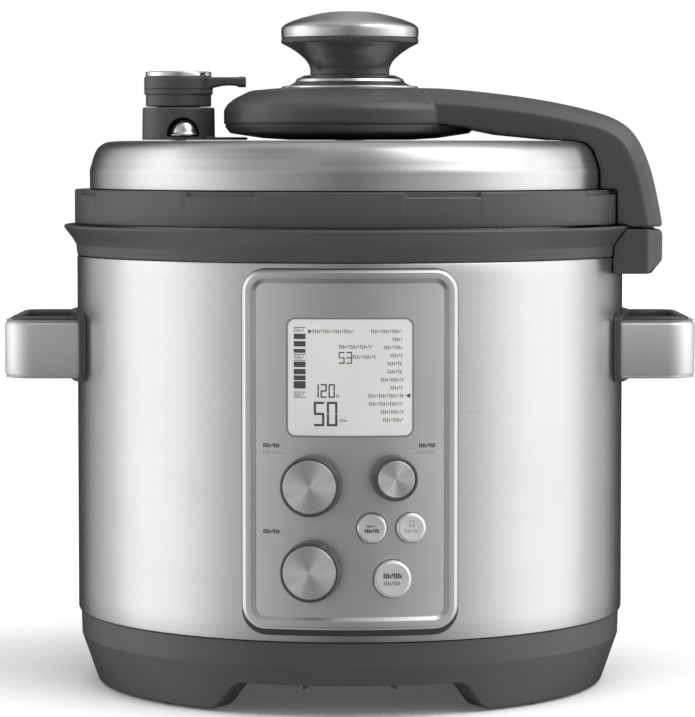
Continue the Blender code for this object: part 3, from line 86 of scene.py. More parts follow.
BODY_R = reach("outer_wrap")
WRAP_LOW, WRAP_TOP = levels("outer_wrap")
COLLAR_TOP = levels("top_collar")[1]
SKIRT_LOW, SKIRT_TOP = levels("lid_skirt")
SKIRT_R = reach("lid_skirt")
COVER_LOW, COVER_TOP = levels("lid_cover")
COVER_R = reach("lid_cover")
PANEL_LOW, PANEL_HIGH = levels("panel_bezel")
PANEL_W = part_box("panel_bezel")[1].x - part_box("panel_bezel")[0].x
PANEL_MIDDLE = (PANEL_LOW + PANEL_HIGH) / 2
KNOB_R = reach("knob_cap")
KNOB_TOP = levels("knob_cap")[1]
KNOB_LIP = KNOB_TOP - 17 * MM
HUB_LOW = COVER_TOP + 8 * MM
HUB_TOP = HUB_LOW + 19 * MM
HUB_R = 64.7 * MM
VALVE_X = middle_of("valve_cap").x
VALVE_R = 18.7 * MM
HINGE_X = middle_of("hinge_pin").x
HINGE_Z = middle_of("hinge_pin").z
ARM_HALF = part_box("hinge_block")[1].y
ARM_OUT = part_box("hinge_block")[1].x + 0.1 * MM
BLOCK_TOP = levels("hinge_block")[1]
ARM_FOOT = BLOCK_TOP + 1.1 * MM
FIT = 0.4 * MM
RUN = 1.4 * MM


# ---- mesh tools -------------------------------------------------------------------------------
def object_of(name, bm):
    """The mesh as an object in the scene, its doubled points made one and its faces turned outward."""
    bmesh.ops.remove_doubles(bm, verts=bm.verts, dist=MERGE)
    bmesh.ops.recalc_face_normals(bm, faces=bm.faces)
    mesh = bpy.data.meshes.new(name)
    bm.to_mesh(mesh)
    bm.free()
    made = bpy.data.objects.new(name, mesh)
    bpy.context.scene.collection.objects.link(made)
    return made


def piece(name, bm, look, body, *nodes, slot=None, place=None, crease=EDGE_ANGLE):
    """The mesh as an object that rides on a body and stands for the CAD nodes named."""
    made = object_of(name, bm)
    made.data.shade_smooth()
    made.data.set_sharp_from_angle(angle=math.radians(crease))
    made.data.materials.append(LOOKS[look])
    if place is not None:
        made.matrix_world = place
    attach(made, body)
    if nodes:
        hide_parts(*nodes)
    return made


def evaluated(helper, *others):
    """The helper's mesh with its modifiers applied. The helper and the others are removed."""
    bpy.context.view_layer.update()
    result = bmesh.new()
    result.from_object(helper, bpy.context.evaluated_depsgraph_get())
    for used in (helper, *others):
        bpy.data.objects.remove(used, do_unlink=True)
    return result


def combined(base, *others, operation="DIFFERENCE"):
    """The first mesh with each other mesh cut from it, joined to it, or kept only where they share space."""
    helper = object_of("helper", base)
    tools = [object_of("helper", other) for other in others]
    for tool in tools:
        step = helper.modifiers.new("step", "BOOLEAN")
        step.operation = operation
        step.solver = "EXACT"
        step.object = tool
    return evaluated(helper, *tools)


def softened(bm, voxel, rounds):
    """The mesh rebuilt in even cells and smoothed, so that its edges turn into small fillets."""
    helper = object_of("helper", bm)
    remesh = helper.modifiers.new("remesh", "REMESH")
    remesh.mode = "VOXEL"
    remesh.voxel_size = voxel
    smooth = helper.modifiers.new("smooth", "SMOOTH")
    smooth.factor = 0.5
    smooth.iterations = rounds
    return evaluated(helper)


def filleted(corners, steps=5):
    """A closed outline of corners (u, v, radius), each rounded by an arc."""
    outline = []
    for index, (u, v, radius) in enumerate(corners):
        here = Vector((u, v))
        if radius == 0:
            outline.append((u, v))
            continue
        before = Vector(corners[index - 1][:2]) - here
        after = Vector(corners[(index + 1) % len(corners)][:2]) - here
        half = before.angle(after) / 2
        length = min(radius / math.tan(half), 0.48 * before.length, 0.48 * after.length)
        start = here + before.normalized() * length
        end = here + after.normalized() * length
        pull = math.sin(half)
        for step in range(steps + 1):
            t = step / steps
            shares = ((1 - t) ** 2, 2 * pull * t * (1 - t), t * t)
            point = (start * shares[0] + here * shares[1] + end * shares[2]) / sum(shares)
            outline.append((point.x, point.y))
    return outline


def smooth_line(points, steps):
    """A Catmull-Rom line through the points."""
    line = []
    ends = [points[0], *points, points[-1]]
    for before, start, end, after in zip(ends, ends[1:], ends[2:], ends[3:]):
        for step in range(steps):
            t = step / steps
            place = []
            for a, b, c, d in zip(before, start, end, after):
                curve = (2 * a - 5 * b + 4 * c - d) * t**2 + (3 * b - a - 3 * c + d) * t**3
                place.append(0.5 * (2 * b + (c - a) * t + curve))
            line.append(tuple(place))
    return [*line, points[-1]]


def even_angles(sides):
    return [2 * math.pi * step / sides for step in range(sides)]


def turned(section, centre=(0.0, 0.0), sides=TURN_SIDES, angles=None):
    """A turned solid. section is a closed loop of (r, z), or a function of the angle that gives one."""
    bm = bmesh.new()
    rings = []
    for angle in angles or even_angles(sides):
        loop = section(angle) if callable(section) else section
        side, front = math.cos(angle), math.sin(angle)
        places = [(r, (centre[0] + r * side, centre[1] + r * front, z)) for r, z in loop]
        rings.append([(r, bm.verts.new(place)) for r, place in places])
    for here, there in zip(rings, rings[1:] + rings[:1]):
        for point in range(len(here)):
            after = (point + 1) % len(here)
            on_axis = here[point][0] == 0 and here[after][0] == 0
            if not on_axis:
                bm.faces.new((here[point][1], here[after][1], there[after][1], there[point][1]))
    return bm


def arc_points(start, turn, count, centre, radius):
    """count + 1 points of an arc from one angle to another, in degrees."""
    angles = [math.radians(start + turn * step / count) for step in range(count + 1)]
    return [(centre[0] + radius * math.cos(angle), centre[1] + radius * math.sin(angle)) for angle in angles]


def repeat_share(angle, count, first, edge, flank):
    """1 at each of count places round a circle, and 0 from edge degrees off it, with a flank between."""
    pitch = 360 / count
    off = (math.degrees(angle) - first + pitch / 2) % pitch - pitch / 2
    return max(0.0, min(1.0, (edge - abs(off)) / flank))


def stepped_angles(count, first, half, offsets):
    """Even steps round a circle, with closer ones at the flanks of count places."""
    angles = [math.degrees(angle) for angle in even_angles(180)]
    for number in range(count):
        middle = first + number * 360 / count
        for side in (-1, 1):
            angles += [(middle + side * (half + off)) % 360 for off in offsets]
    return sorted(math.radians(angle) for angle in {round(angle, 3) for angle in angles})


def rod(radius, low, high, centre=(0.0, 0.0), sides=48, edge=0.0):
    section = [(0, low, 0), (radius, low, edge), (radius, high, edge), (0, high, 0)]
    return turned(filleted(section), centre, sides)


def loft(loops, closed_ends=True):
    """A skin through loops of the same number of points. Without ends it closes on its first loop."""
    bm = bmesh.new()
    rows = [[bm.verts.new(point) for point in loop] for loop in loops]
    pairs = list(zip(rows, rows[1:]))
    if not closed_ends:
        pairs.append((rows[-1], rows[0]))
    for here, there in pairs:
        for point in range(len(here)):
            after = (point + 1) % len(here)
            bm.faces.new((here[point], here[after], there[after], there[point]))
    if closed_ends:
        bm.faces.new(rows[0])
        bm.faces.new(rows[-1])
    return bm


def prism(outline, low, high, along="Z"):
    """An outline (u, v) carried between two places along Z, or along Y with v as its height."""
    if along == "Z":
        return loft([[(u, v, level) for u, v in outline] for level in (low, high)])
    return loft([[(u, level, v) for u, v in outline] for level in (low, high)])


def block(low, high, edge=0.0):
    """A box whose upright and level edges are rounded by edge."""
    width, depth = high[0] - low[0], high[1] - low[1]
    centre = ((low[0] + high[0]) / 2, (low[1] + high[1]) / 2)
    if edge == 0:
        return prism(rounded(width, depth, 0, centre, 0), low[2], high[2])
    turns = [math.radians(18 * step) for step in range(6)]
    fillet = [(edge * (1 - math.sin(turn)), edge * (1 - math.cos(turn))) for turn in turns]
    rows = [(side, low[2] + up) for side, up in fillet]
    rows += [(side, high[2] - up) for side, up in reversed(fillet)]
    loops = []
    for side, z in rows:
        corner = max(edge * 1.2 - side, 0.05 * MM)
        outline = rounded(width - 2 * side, depth - 2 * side, corner, centre, 5)
        loops.append([(u, v, z) for u, v in outline])
    return loft(loops)


def rounded(width, height, radius, centre=(0.0, 0.0), steps=8, runs=1):
    """A rectangle with round corners, anticlockwise, its straight edges divided into runs."""
    corners = []
    for quarter, (right, up) in enumerate(((1, 1), (-1, 1), (-1, -1), (1, -1))):
        middle = (centre[0] + right * (width / 2 - radius), centre[1] + up * (height / 2 - radius))
        arc = []
        for step in range(steps + 1):
            angle = math.radians(90) * (quarter + step / max(steps, 1))
            arc.append((middle[0] + radius * math.cos(angle), middle[1] + radius * math.sin(angle)))
        corners.append(arc)
    points = []
    for arc, following in zip(corners, corners[1:] + corners[:1]):
        points += arc
        start, end = arc[-1], following[0]
        for run in range(1, runs):
            share = run / runs
            points.append((start[0] + (end[0] - start[0]) * share, start[1] + (end[1] - start[1]) * share))
    return points


def on_body(bm, radius=None):
    """Bends a mesh of (across, out, up) onto the body's front. out is the distance off its surface."""
    radius = BODY_R if radius is None else radius
    for vertex in bm.verts:
        across, out, up = vertex.co
        vertex.co = (across, -math.sqrt((radius + out) ** 2 - across**2), up)
    return bm


def turned_to(bm, degrees):
    bmesh.ops.rotate(bm, verts=bm.verts, matrix=Matrix.Rotation(math.radians(degrees), 3, "Z"))
    return bm


def slab(inner, outer, outline, *holes):
    """A plate that follows the body's curve at the front, between two radii, trimmed by an outline."""
    half = max(abs(u) for u, v in outline) + 2 * MM
    low = min(v for u, v in outline) - 2 * MM
    high = max(v for u, v in outline) + 2 * MM
    limit = math.asin(half / inner)
    count = math.ceil(2 * half / STRIP)
    turns = [limit * (2 * step / count - 1) for step in range(count + 1)]
    arc = [(outer * math.sin(turn), -outer * math.cos(turn)) for turn in turns]
    arc += [(inner * math.sin(turn), -inner * math.cos(turn)) for turn in reversed(turns)]
    trim = prism(outline, -2 * BODY_R, -BODY_R / 2, "Y")
    plate = combined(prism(arc, low, high), trim, operation="INTERSECT")
    return combined(plate, *holes) if holes else plate


def frame_ring(width, height, radius, centre_z, profile, runs=24):
    """A curved frame. profile is a closed loop of (inward from the outline, out from the body)."""
    loops = []
    for inward, out in profile:
        corner = max(radius - inward, 0.3 * MM)
        outline = rounded(width - 2 * inward, height - 2 * inward, corner, (0, centre_z), 10, runs)
        loops.append([(u, out, v) for u, v in outline])
    return on_body(loft(loops, closed_ends=False))


def boxes(cells, low, high):
    """Thin boxes (left, right, bottom, top) in one mesh, as (across, out, up), cut into strips."""
    bm = bmesh.new()
    for left, right, bottom, top in cells:
        strips = max(1, math.ceil((right - left) / STRIP))
        columns = []
        for step in range(strips + 1):
            across = left + (right - left) * step / strips
            corners = ((low, bottom), (high, bottom), (high, top), (low, top))
            columns.append([bm.verts.new((across, out, up)) for out, up in corners])
        for here, there in zip(columns, columns[1:]):
            for point in range(4):
                after = (point + 1) % 4
                bm.faces.new((here[point], here[after], there[after], there[point]))
        bm.faces.new(columns[0])
        bm.faces.new(columns[-1])
    return bm


def joined(*meshes):
    """The meshes as one mesh of separate closed shells."""
    whole = bmesh.new()
    for bm in meshes:
        mesh = bpy.data.meshes.new("joined")
        bm.to_mesh(mesh)
        bm.free()
        whole.from_mesh(mesh)
        bpy.data.meshes.remove(mesh)
    return whole


def radial_place(offset, height):
    """The body's surface at the front, with Z pointing out and Y up. offset is from the centre line."""
    turn = math.asin(offset / BODY_R)
    outward = Vector((math.sin(turn), -math.cos(turn), 0))
    across = Vector((math.cos(turn), math.sin(turn), 0))
    place = Matrix((across, Vector((0, 0, 1)), outward)).transposed().to_4x4()
    place.translation = outward * BODY_R + Vector((0, 0, height))
    return place


def bevelled(made, width, segments=2, angle=40):
    """The object with a bevel on its edges sharper than the angle in degrees."""
    step = made.modifiers.new("edges", "BEVEL")
    step.width = width
    step.segments = segments
    step.limit_method = "ANGLE"
    step.angle_limit = math.radians(angle)
    step.harden_normals = False
    return made


# ---- finishes ---------------------------------------------------------------------------------
class Graph:
    """A node tree, with its nodes added and joined in one step."""

    def __init__(self, owner):
        owner.use_nodes = True
        self.tree = owner.node_tree

    def add(self, kind, inputs=(), **settings):
        node = self.tree.nodes.new(kind)
        for name, value in settings.items():
            setattr(node, name, value)
        for key, value in dict(inputs).items():
            if isinstance(value, bpy.types.NodeSocket):
                self.tree.links.new(value, node.inputs[key])
            else:
                node.inputs[key].default_value = value
        return node

    def math(self, operation, first, second=0.0):
        return self.add("ShaderNodeMath", {0: first, 1: second}, operation=operation).outputs[0]


class Finish(Graph):
    """One procedural material, built up from noise in the object's own coordinates."""

    def __init__(self, name, metallic=0.0, **fixed):
        self.material = bpy.data.materials.new(name)
        super().__init__(self.material)
        self.shader = self.tree.nodes["Principled BSDF"]
        self.shader.inputs["Metallic"].default_value = metallic
        for socket, value in fixed.items():
            self.shader.inputs[socket.replace("_", " ")].default_value = value
        self.place = self.add("ShaderNodeTexCoord").outputs["Object"]
        self.normal = None

    def blend(self, first, second, share):
        """Two grey patterns added together, the first at its share and the second at the rest."""
        parts = self.math("MULTIPLY", first, share), self.math("MULTIPLY", second, 1 - share)
        return self.math("ADD", *parts)

    def scaled(self, scale):
        return self.add("ShaderNodeMapping", {"Vector": self.place, "Scale": scale}).outputs[0]

    def ring_lines(self, along, across, centre=(0.0, 0.0)):
        """Coordinates that change slowly round a vertical axis, and fast up a wall or out over a flat."""
        moved = {"Vector": self.place, "Location": (-centre[0], -centre[1], 0)}
        shifted = self.add("ShaderNodeMapping", moved).outputs[0]
        x, y, z = self.add("ShaderNodeSeparateXYZ", {0: shifted}).outputs
        out = self.math("SQRT", self.math("ADD", self.math("MULTIPLY", x, x), self.math("MULTIPLY", y, y)))
        climb = self.math("MULTIPLY", self.math("ADD", out, z), across)
        made = {0: self.math("MULTIPLY", x, along), 1: self.math("MULTIPLY", y, along), 2: climb}
        return self.add("ShaderNodeCombineXYZ", made).outputs[0]

    def noise(self, vector, scale=1.0, detail=2.0, rough=0.5):
        inputs = {"Vector": vector, "Scale": scale, "Detail": detail, "Roughness": rough}
        return self.add("ShaderNodeTexNoise", inputs).outputs["Fac"]

    def between(self, share, low, high, start=0.3, end=0.7):
        inputs = {"Value": share, "From Min": start, "From Max": end, "To Min": low, "To Max": high}
        return self.add("ShaderNodeMapRange", inputs).outputs[0]

    def colour(self, share, dark, light):
        mix = self.add("ShaderNodeMix", data_type="RGBA")
        self.tree.links.new(self.between(share, 0, 1), mix.inputs["Factor"])
        mix.inputs[6].default_value = (*dark, 1)
        mix.inputs[7].default_value = (*light, 1)
        self.tree.links.new(mix.outputs[2], self.shader.inputs["Base Color"])
        return self

    def roughness(self, share, low, high):
        self.tree.links.new(self.between(share, low, high), self.shader.inputs["Roughness"])
        return self

    def bump(self, height, distance, strength=1.0):
        inputs = {"Height": height, "Distance": distance, "Strength": strength}
        if self.normal is not None:
            inputs["Normal"] = self.normal
        self.normal = self.add("ShaderNodeBump", inputs).outputs[0]
        self.tree.links.new(self.normal, self.shader.inputs["Normal"])
        return self

    def brushed_round(self, amount):
        """Stretches the gloss square to brush lines that run round the piece's own vertical axis."""
        tangent = self.add("ShaderNodeTangent", direction_type="RADIAL", axis="Z")
        self.tree.links.new(tangent.outputs[0], self.shader.inputs["Tangent"])
        self.shader.inputs["Anisotropic"].default_value = amount
        self.shader.inputs["Anisotropic Rotation"].default_value = 0.25
        return self


def shade(colour, amount):
    return tuple(channel * amount for channel in colour)


def brushed(name, colour, rough, lines=2600.0, amount=0.75, contrast=0.05, centre=(0.0, 0.0)):
    """Steel brushed round its axis: fine lines, broad cloudy changes and faint smudges."""
    made = Finish(name, metallic=1.0)
    fine = made.noise(made.ring_lines(7, lines, centre), 1, 3, 0.6)
    clouds = made.noise(made.place, 14, 3, 0.6)
    smudges = made.noise(made.place, 38, 4, 0.7)
    both = made.blend(fine, clouds, 0.7)
    made.colour(both, shade(colour, 1 - contrast), shade(colour, 1 + contrast))
    streaks = made.blend(fine, smudges, 0.6)
    made.roughness(streaks, rough - 0.05, rough + 0.05)
    made.bump(fine, 0.02 * MM, 0.5)
    return made.brushed_round(amount).material


def satin(name, colour, rough):
    made = Finish(name, metallic=1.0)
    grain = made.noise(made.place, 5200, 2, 0.6)
    clouds = made.noise(made.place, 26, 3, 0.6)
    both = made.blend(grain, clouds, 0.5)
    made.colour(both, shade(colour, 0.96), shade(colour, 1.04))
    made.roughness(both, rough - 0.05, rough + 0.05)
    return made.bump(grain, 0.01 * MM, 0.5).material


def bright(name, colour, rough):
    made = Finish(name, metallic=1.0)
    scuffs = made.noise(made.scaled((60, 60, 900)), 1, 4, 0.7)
    clouds = made.noise(made.place, 45, 3, 0.6)
    made.colour(clouds, shade(colour, 0.95), colour)
    made.roughness(scuffs, rough * 0.6, rough * 1.5)
    return made.bump(scuffs, 0.004 * MM, 0.4).material


def cast(name, colour, rough):
    made = Finish(name, metallic=1.0)
    grains = made.noise(made.place, 900, 4, 0.7)
    clouds = made.noise(made.place, 30, 3, 0.6)
    made.colour(clouds, shade(colour, 0.88), shade(colour, 1.08))
    made.roughness(grains, rough - 0.06, rough + 0.08)
    return made.bump(grains, 0.05 * MM, 0.7).material


def moulded(name, colour, rough, grain=2600.0, depth=0.02, **fixed):
    """Moulded plastic with a fine texture, faint flow clouding and a few handling marks."""
    made = Finish(name, **fixed)
    texture = made.noise(made.place, grain, 3, 0.6)
    clouds = made.noise(made.place, 18, 3, 0.6)
    marks = made.noise(made.scaled((90, 90, 420)), 1, 5, 0.75)
    both = made.blend(texture, clouds, 0.4)
    made.colour(both, shade(colour, 0.88), shade(colour, 1.12))
    made.roughness(made.blend(texture, marks, 0.5), rough - 0.06, rough + 0.06)
    return made.bump(texture, depth * MM, 0.6).material


def display_panel():
    """The pale display behind its glossy glass."""
    made = Finish("display_panel", Coat_Weight=1.0, Coat_Roughness=0.04, Specular_IOR_Level=0.3)
    cells = made.noise(made.place, 4200, 2, 0.5)
    clouds = made.noise(made.place, 22, 2, 0.5)
    both = made.blend(cells, clouds, 0.3)
    made.colour(both, (0.55, 0.56, 0.545), (0.62, 0.63, 0.61))
    made.roughness(cells, 0.3, 0.4)
    return made.material


def board_look():
    made = Finish("board_green", Coat_Weight=0.6, Coat_Roughness=0.15)
    grid = {"Vector": made.scaled((1, 1, 1)), "Scale": 90.0}
    tracks = made.add("ShaderNodeTexBrick", grid).outputs["Fac"]
    clouds = made.noise(made.place, 120, 3, 0.6)
    both = made.blend(tracks, clouds, 0.5)
    made.colour(both, (0.012, 0.09, 0.035), (0.03, 0.17, 0.07))
    made.roughness(clouds, 0.3, 0.45)
    return made.bump(tracks, 0.03 * MM, 0.5).material


STEEL = (0.62, 0.615, 0.61)
LOOKS = {
    "steel": brushed("body_steel", STEEL, 0.3),
    "lid_steel": brushed("lid_steel", STEEL, 0.3, 2200),
    "dial_steel": brushed("dial_steel", (0.86, 0.86, 0.86), 0.5, 5200, 0.96, 0.1),
    "knob_steel": brushed("knob_steel", (0.66, 0.655, 0.65), 0.27, 3400, 0.8, 0.06),
    "pot_steel": brushed("pot_steel", (0.68, 0.68, 0.67), 0.25, 1900, 0.6),
    "satin": satin("satin_metal", (0.66, 0.66, 0.66), 0.36),
    "handle": satin("handle_satin", (0.82, 0.815, 0.81), 0.48),
    "face": satin("panel_satin", (0.74, 0.735, 0.735), 0.4),
    "key": satin("key_satin", (0.93, 0.925, 0.92), 0.6),
    "bright": bright("bright_metal", (0.82, 0.82, 0.82), 0.12),
    "polished": bright("polished_metal", (0.86, 0.855, 0.85), 0.22),
    "cast": cast("cast_aluminium", (0.5, 0.5, 0.5), 0.45),
    "spring": bright("spring_steel", (0.45, 0.45, 0.45), 0.3),
    "plastic": moulded("dark_plastic", (0.052, 0.05, 0.049), 0.34),
    "gloss_plastic": moulded("gloss_plastic", (0.045, 0.043, 0.042), 0.28, 3200, 0.006),
    "inner": moulded("black_plastic", (0.022, 0.022, 0.023), 0.5, 1800, 0.04),
    "rubber": moulded("foot_rubber", (0.018, 0.018, 0.018), 0.75, 1200, 0.06),
    "silicone": moulded("silicone", (0.62, 0.62, 0.6), 0.5, 900, 0.02, Subsurface_Weight=0.15),
    "trim": moulded("display_trim", (0.16, 0.16, 0.16), 0.35, 3000, 0.004),
    "ink": moulded("dark_ink", (0.05, 0.05, 0.052), 0.5, 3000, 0.004),
    "pale_ink": moulded("pale_ink", (0.26, 0.26, 0.265), 0.5, 3000, 0.004),
    "display": display_panel(),
    "board": board_look(),
}


# ---- base -------------------------------------------------------------------------------------
FLOOR_CLEARANCE = 0.8 * MM
BASE_FOOT_R = BODY_R - 10.3 * MM
ARCH_H = 16 * MM
ARCH_HALF_TOP = 51 * MM
ARCH_HALF_FLOOR = 68 * MM
BASE_CREASE_Z = 25 * MM
BASE_FLOOR_Z = 17 * MM
BASE_WALL = 3 * MM
BASE_RING_W = 14 * MM
BASE_HOLE_R = 60 * MM
FOOT_R = 5.35 * MM


def arch_lift(angle):
    """Height of the base's lower edge at an angle: raised over the arches at the front and the back."""
    from_arch = abs(math.asin(max(-1, min(1, math.cos(angle)))))
    inner = math.asin(ARCH_HALF_TOP / BASE_FOOT_R)
    outer = math.asin(ARCH_HALF_FLOOR / BASE_FOOT_R)
    share = max(0, min(1, (outer - from_arch) / (outer - inner)))
    return FLOOR_CLEARANCE + (ARCH_H - FLOOR_CLEARANCE) * share * share * (3 - 2 * share)


def base_section(angle):
    foot = arch_lift(angle)
    crease_r = BODY_R - 1.7 * MM
    top_r = BODY_R - 1.3 * MM
    slope = (crease_r - BASE_FOOT_R) / (BASE_CREASE_Z - FLOOR_CLEARANCE)
    edge_r = BASE_FOOT_R + slope * (foot + 0.6 * MM - FLOOR_CLEARANCE)
    ring_in = BASE_FOOT_R - BASE_RING_W
    top = WRAP_LOW - FIT
    corners = [
        (BASE_HOLE_R, BASE_FLOOR_Z, 0.8 * MM),
        (ring_in, BASE_FLOOR_Z, 0.1 * MM),
        (ring_in + 0.1 * MM, foot, 0.1 * MM),
        (edge_r, foot, 2.2 * MM),
        (crease_r, BASE_CREASE_Z, 1.2 * MM),
        (top_r, top, 0.8 * MM),
        (top_r - BASE_WALL, top, 0.4 * MM),
        (edge_r - BASE_WALL - 1 * MM, foot + BASE_WALL, 0.4 * MM),
        (ring_in + BASE_WALL + 0.6 * MM, foot + BASE_WALL, 0.3 * MM),
        (ring_in + BASE_WALL, BASE_FLOOR_Z + BASE_WALL, 0.3 * MM),
        (BASE_HOLE_R, BASE_FLOOR_Z + BASE_WALL, 0.4 * MM),
    ]
    return filleted(corners, 4)


def foot_centres():
    return [middle_of(f"foot_pad_{number}") for number in range(1, 5)]


def make_base():
    recesses = [rod(FOOT_R + FIT, -1 * MM, 2 * MM, (centre.x, centre.y)) for centre in foot_centres()]
    base = combined(turned(base_section, sides=BODY_SIDES), *recesses)
    piece("base", base, "plastic", "housing", "base_shell")
    for number, centre in enumerate(foot_centres(), 1):
        low, high = levels(f"foot_pad_{number}")
        section = [
            (0, low + 0.5 * MM, 0),
            (FOOT_R - 2 * MM, low + 0.5 * MM, 0.3 * MM),
            (FOOT_R - 2.4 * MM, low, 0.3 * MM),
            (FOOT_R, low, 0.7 * MM),
            (FOOT_R, high, 0.3 * MM),
            (0, high, 0),
        ]
        made = turned(filleted(section), (centre.x, centre.y), SMALL_TURN_SIDES)
        piece(f"foot_{number}", made, "rubber", "housing", f"foot_pad_{number}")
    make_underside()


def make_underside():
    """The vented cover with its slots, the screws that hold it, and the ribs beside the ring."""
    low, high = levels("bottom_cover")
    plate_r = reach("bottom_cover")
    slots = []
    for number in range(-4, 5):
        half = 34 * MM - abs(number) * 4 * MM
        slot = rounded(3 * MM, 2 * half, 1.49 * MM, (number * 8 * MM, 0))
        slots.append(prism(slot, low - 5 * MM, high + 5 * MM))
    disc = turned(filleted([(0, low, 0), (plate_r, low, 1 * MM), (plate_r, high, 0.2 * MM), (0, high, 0)]))
    piece("vent_cover", combined(disc, *slots), "inner", "housing", "bottom_cover")
    heads = []
    for degrees in (45, 135, 225, 315):
        angle = math.radians(degrees)
        centre = ((plate_r - 6 * MM) * math.cos(angle), (plate_r - 6 * MM) * math.sin(angle))
        heads.append(screw_head(centre, low, 3.2 * MM))
    piece("cover_screws", joined(*heads), "spring", "housing")
    ribs = []
    ring_in = BASE_FOOT_R - BASE_RING_W
    for number in range(16):
        low_end = (plate_r + 3 * MM, -0.9 * MM, BASE_FLOOR_Z - 6 * MM)
        high_end = (ring_in - 1 * MM, 0.9 * MM, BASE_FLOOR_Z + 0.5 * MM)
        ribs.append(turned_to(block(low_end, high_end, 0.4 * MM), (number + 0.5) * 22.5))
    piece("base_ribs", joined(*ribs), "plastic", "housing")


def screw_head(centre, level, radius):
    """A pan head facing down, with a cross recess."""
    section = [
        (0, level - 1.6 * MM, 0),
        (radius * 0.7, level - 1.6 * MM, 0.4 * MM),
        (radius, level - 0.5 * MM, 0.5 * MM),
        (radius, level, 0),
        (0, level, 0),
    ]
    head = turned(filleted(section), centre, 32)
    half, wide = radius * 0.55, radius * 0.13
    slots = []
    for across, along in ((half, wide), (wide, half)):
        low = (centre[0] - across, centre[1] - along, level - 3 * MM)
        slots.append(block(low, (centre[0] + across, centre[1] + along, level - 0.7 * MM)))
    return combined(head, *slots)


# ---- body shells ------------------------------------------------------------------------------
PANEL_LAP = 4.5 * MM  # how far the panel's frame laps over the wrap
INLET_LAP = 4 * MM


def make_wrap():
    """The steel wrap as a sheet with openings for the panel and the inlet, its rims turned in a little."""
    half = math.asin((PANEL_W / 2 - PANEL_LAP) / BODY_R)
    inlet_low, inlet_high = levels("power_inlet")
    inlet_low, inlet_high = inlet_low + INLET_LAP, inlet_high - INLET_LAP
    inlet_half = math.asin(14 * MM / BODY_R)
    front, back = math.pi * 3 / 2, math.pi / 2
    marks = [front - half, front + half, back - inlet_half, back + inlet_half]
    even = [angle for angle in even_angles(BODY_SIDES) if angle not in (front, back)]
    angles = sorted([a for a in even if min(abs(a - mark) for mark in marks) > 0.008] + marks)
    heights = [WRAP_LOW, WRAP_LOW + 0.9 * MM, inlet_low, inlet_high]
    heights += [PANEL_LOW + PANEL_LAP, PANEL_HIGH - PANEL_LAP, WRAP_TOP - 0.9 * MM, WRAP_TOP]
    heights = sorted(heights)
    bm = bmesh.new()
    columns = []
    for angle in angles:
        column = []
        for level in heights:
            radius = BODY_R - (0.3 * MM if level in (WRAP_LOW, WRAP_TOP) else 0)
            column.append(bm.verts.new((radius * math.cos(angle), radius * math.sin(angle), level)))
        columns.append((angle, column))
    for (start, here), (end, there) in zip(columns, columns[1:] + columns[:1]):
        middle = (start + (end - start) % (2 * math.pi) / 2) % (2 * math.pi)
        for step in range(len(heights) - 1):
            level = (heights[step] + heights[step + 1]) / 2
            at_panel = abs(middle - front) < half and PANEL_LOW + PANEL_LAP < level < PANEL_HIGH - PANEL_LAP
            at_inlet = abs(middle - back) < inlet_half and inlet_low < level < inlet_high
            if not at_panel and not at_inlet:
                bm.faces.new((here[step], there[step], there[step + 1], here[step + 1]))
    helper = object_of("helper", bm)
    wall = helper.modifiers.new("wall", "SOLIDIFY")
    wall.thickness = 0.8 * MM
    wall.offset = -1
    piece("wrap", evaluated(helper), "steel", "housing", "outer_wrap", crease=24)


def make_collar():
    trough_z = COLLAR_TOP - 10.5 * MM
    flange_z = COLLAR_TOP - 4.9 * MM
    seat_out, seat_in = 118.3 * MM, 116.3 * MM
    section = [
        (seat_in, WRAP_TOP + 0.4 * MM, 0),
        (BODY_R - 0.4 * MM, WRAP_TOP + 0.4 * MM, 0.3 * MM),
        (BODY_R, WRAP_TOP + 1.2 * MM, 0.3 * MM),
        (BODY_R + 0.5 * MM, WRAP_TOP + 5.9 * MM, 3 * MM),
        (BODY_R + 2.4 * MM, WRAP_TOP + 9 * MM, 3 * MM),
        (BODY_R + 6.7 * MM, COLLAR_TOP - 1.2 * MM, 0.7 * MM),
        (BODY_R + 6.2 * MM, COLLAR_TOP, 0.5 * MM),
        (BODY_R + 4.6 * MM, COLLAR_TOP, 0.5 * MM),
        (BODY_R - 1.5 * MM, trough_z + 3 * MM, 2 * MM),
        (BODY_R - 6.5 * MM, trough_z, 2 * MM),
        (seat_out, trough_z, 1.5 * MM),
        (seat_out, flange_z - FIT, 0.3 * MM),
        (seat_in, flange_z - FIT, 0.3 * MM),
    ]
    piece("collar", turned(filleted(section)), "plastic", "housing", "top_collar")


# ---- pots -------------------------------------------------------------------------------------
TEETH = 8
TOOTH_HALF = 9  # degrees
TOOTH_FLANK = 0.6  # degrees that each flank slopes over
SHEET = 1.5 * MM  # the pot's wall


def near_tooth(angle, shift):
    return repeat_share(angle, TEETH, shift, TOOTH_HALF + TOOTH_FLANK, TOOTH_FLANK)


def tooth_angles(shift):
    return stepped_angles(TEETH, shift, TOOTH_HALF, (0, 0.15, 0.3, 0.45, TOOTH_FLANK))


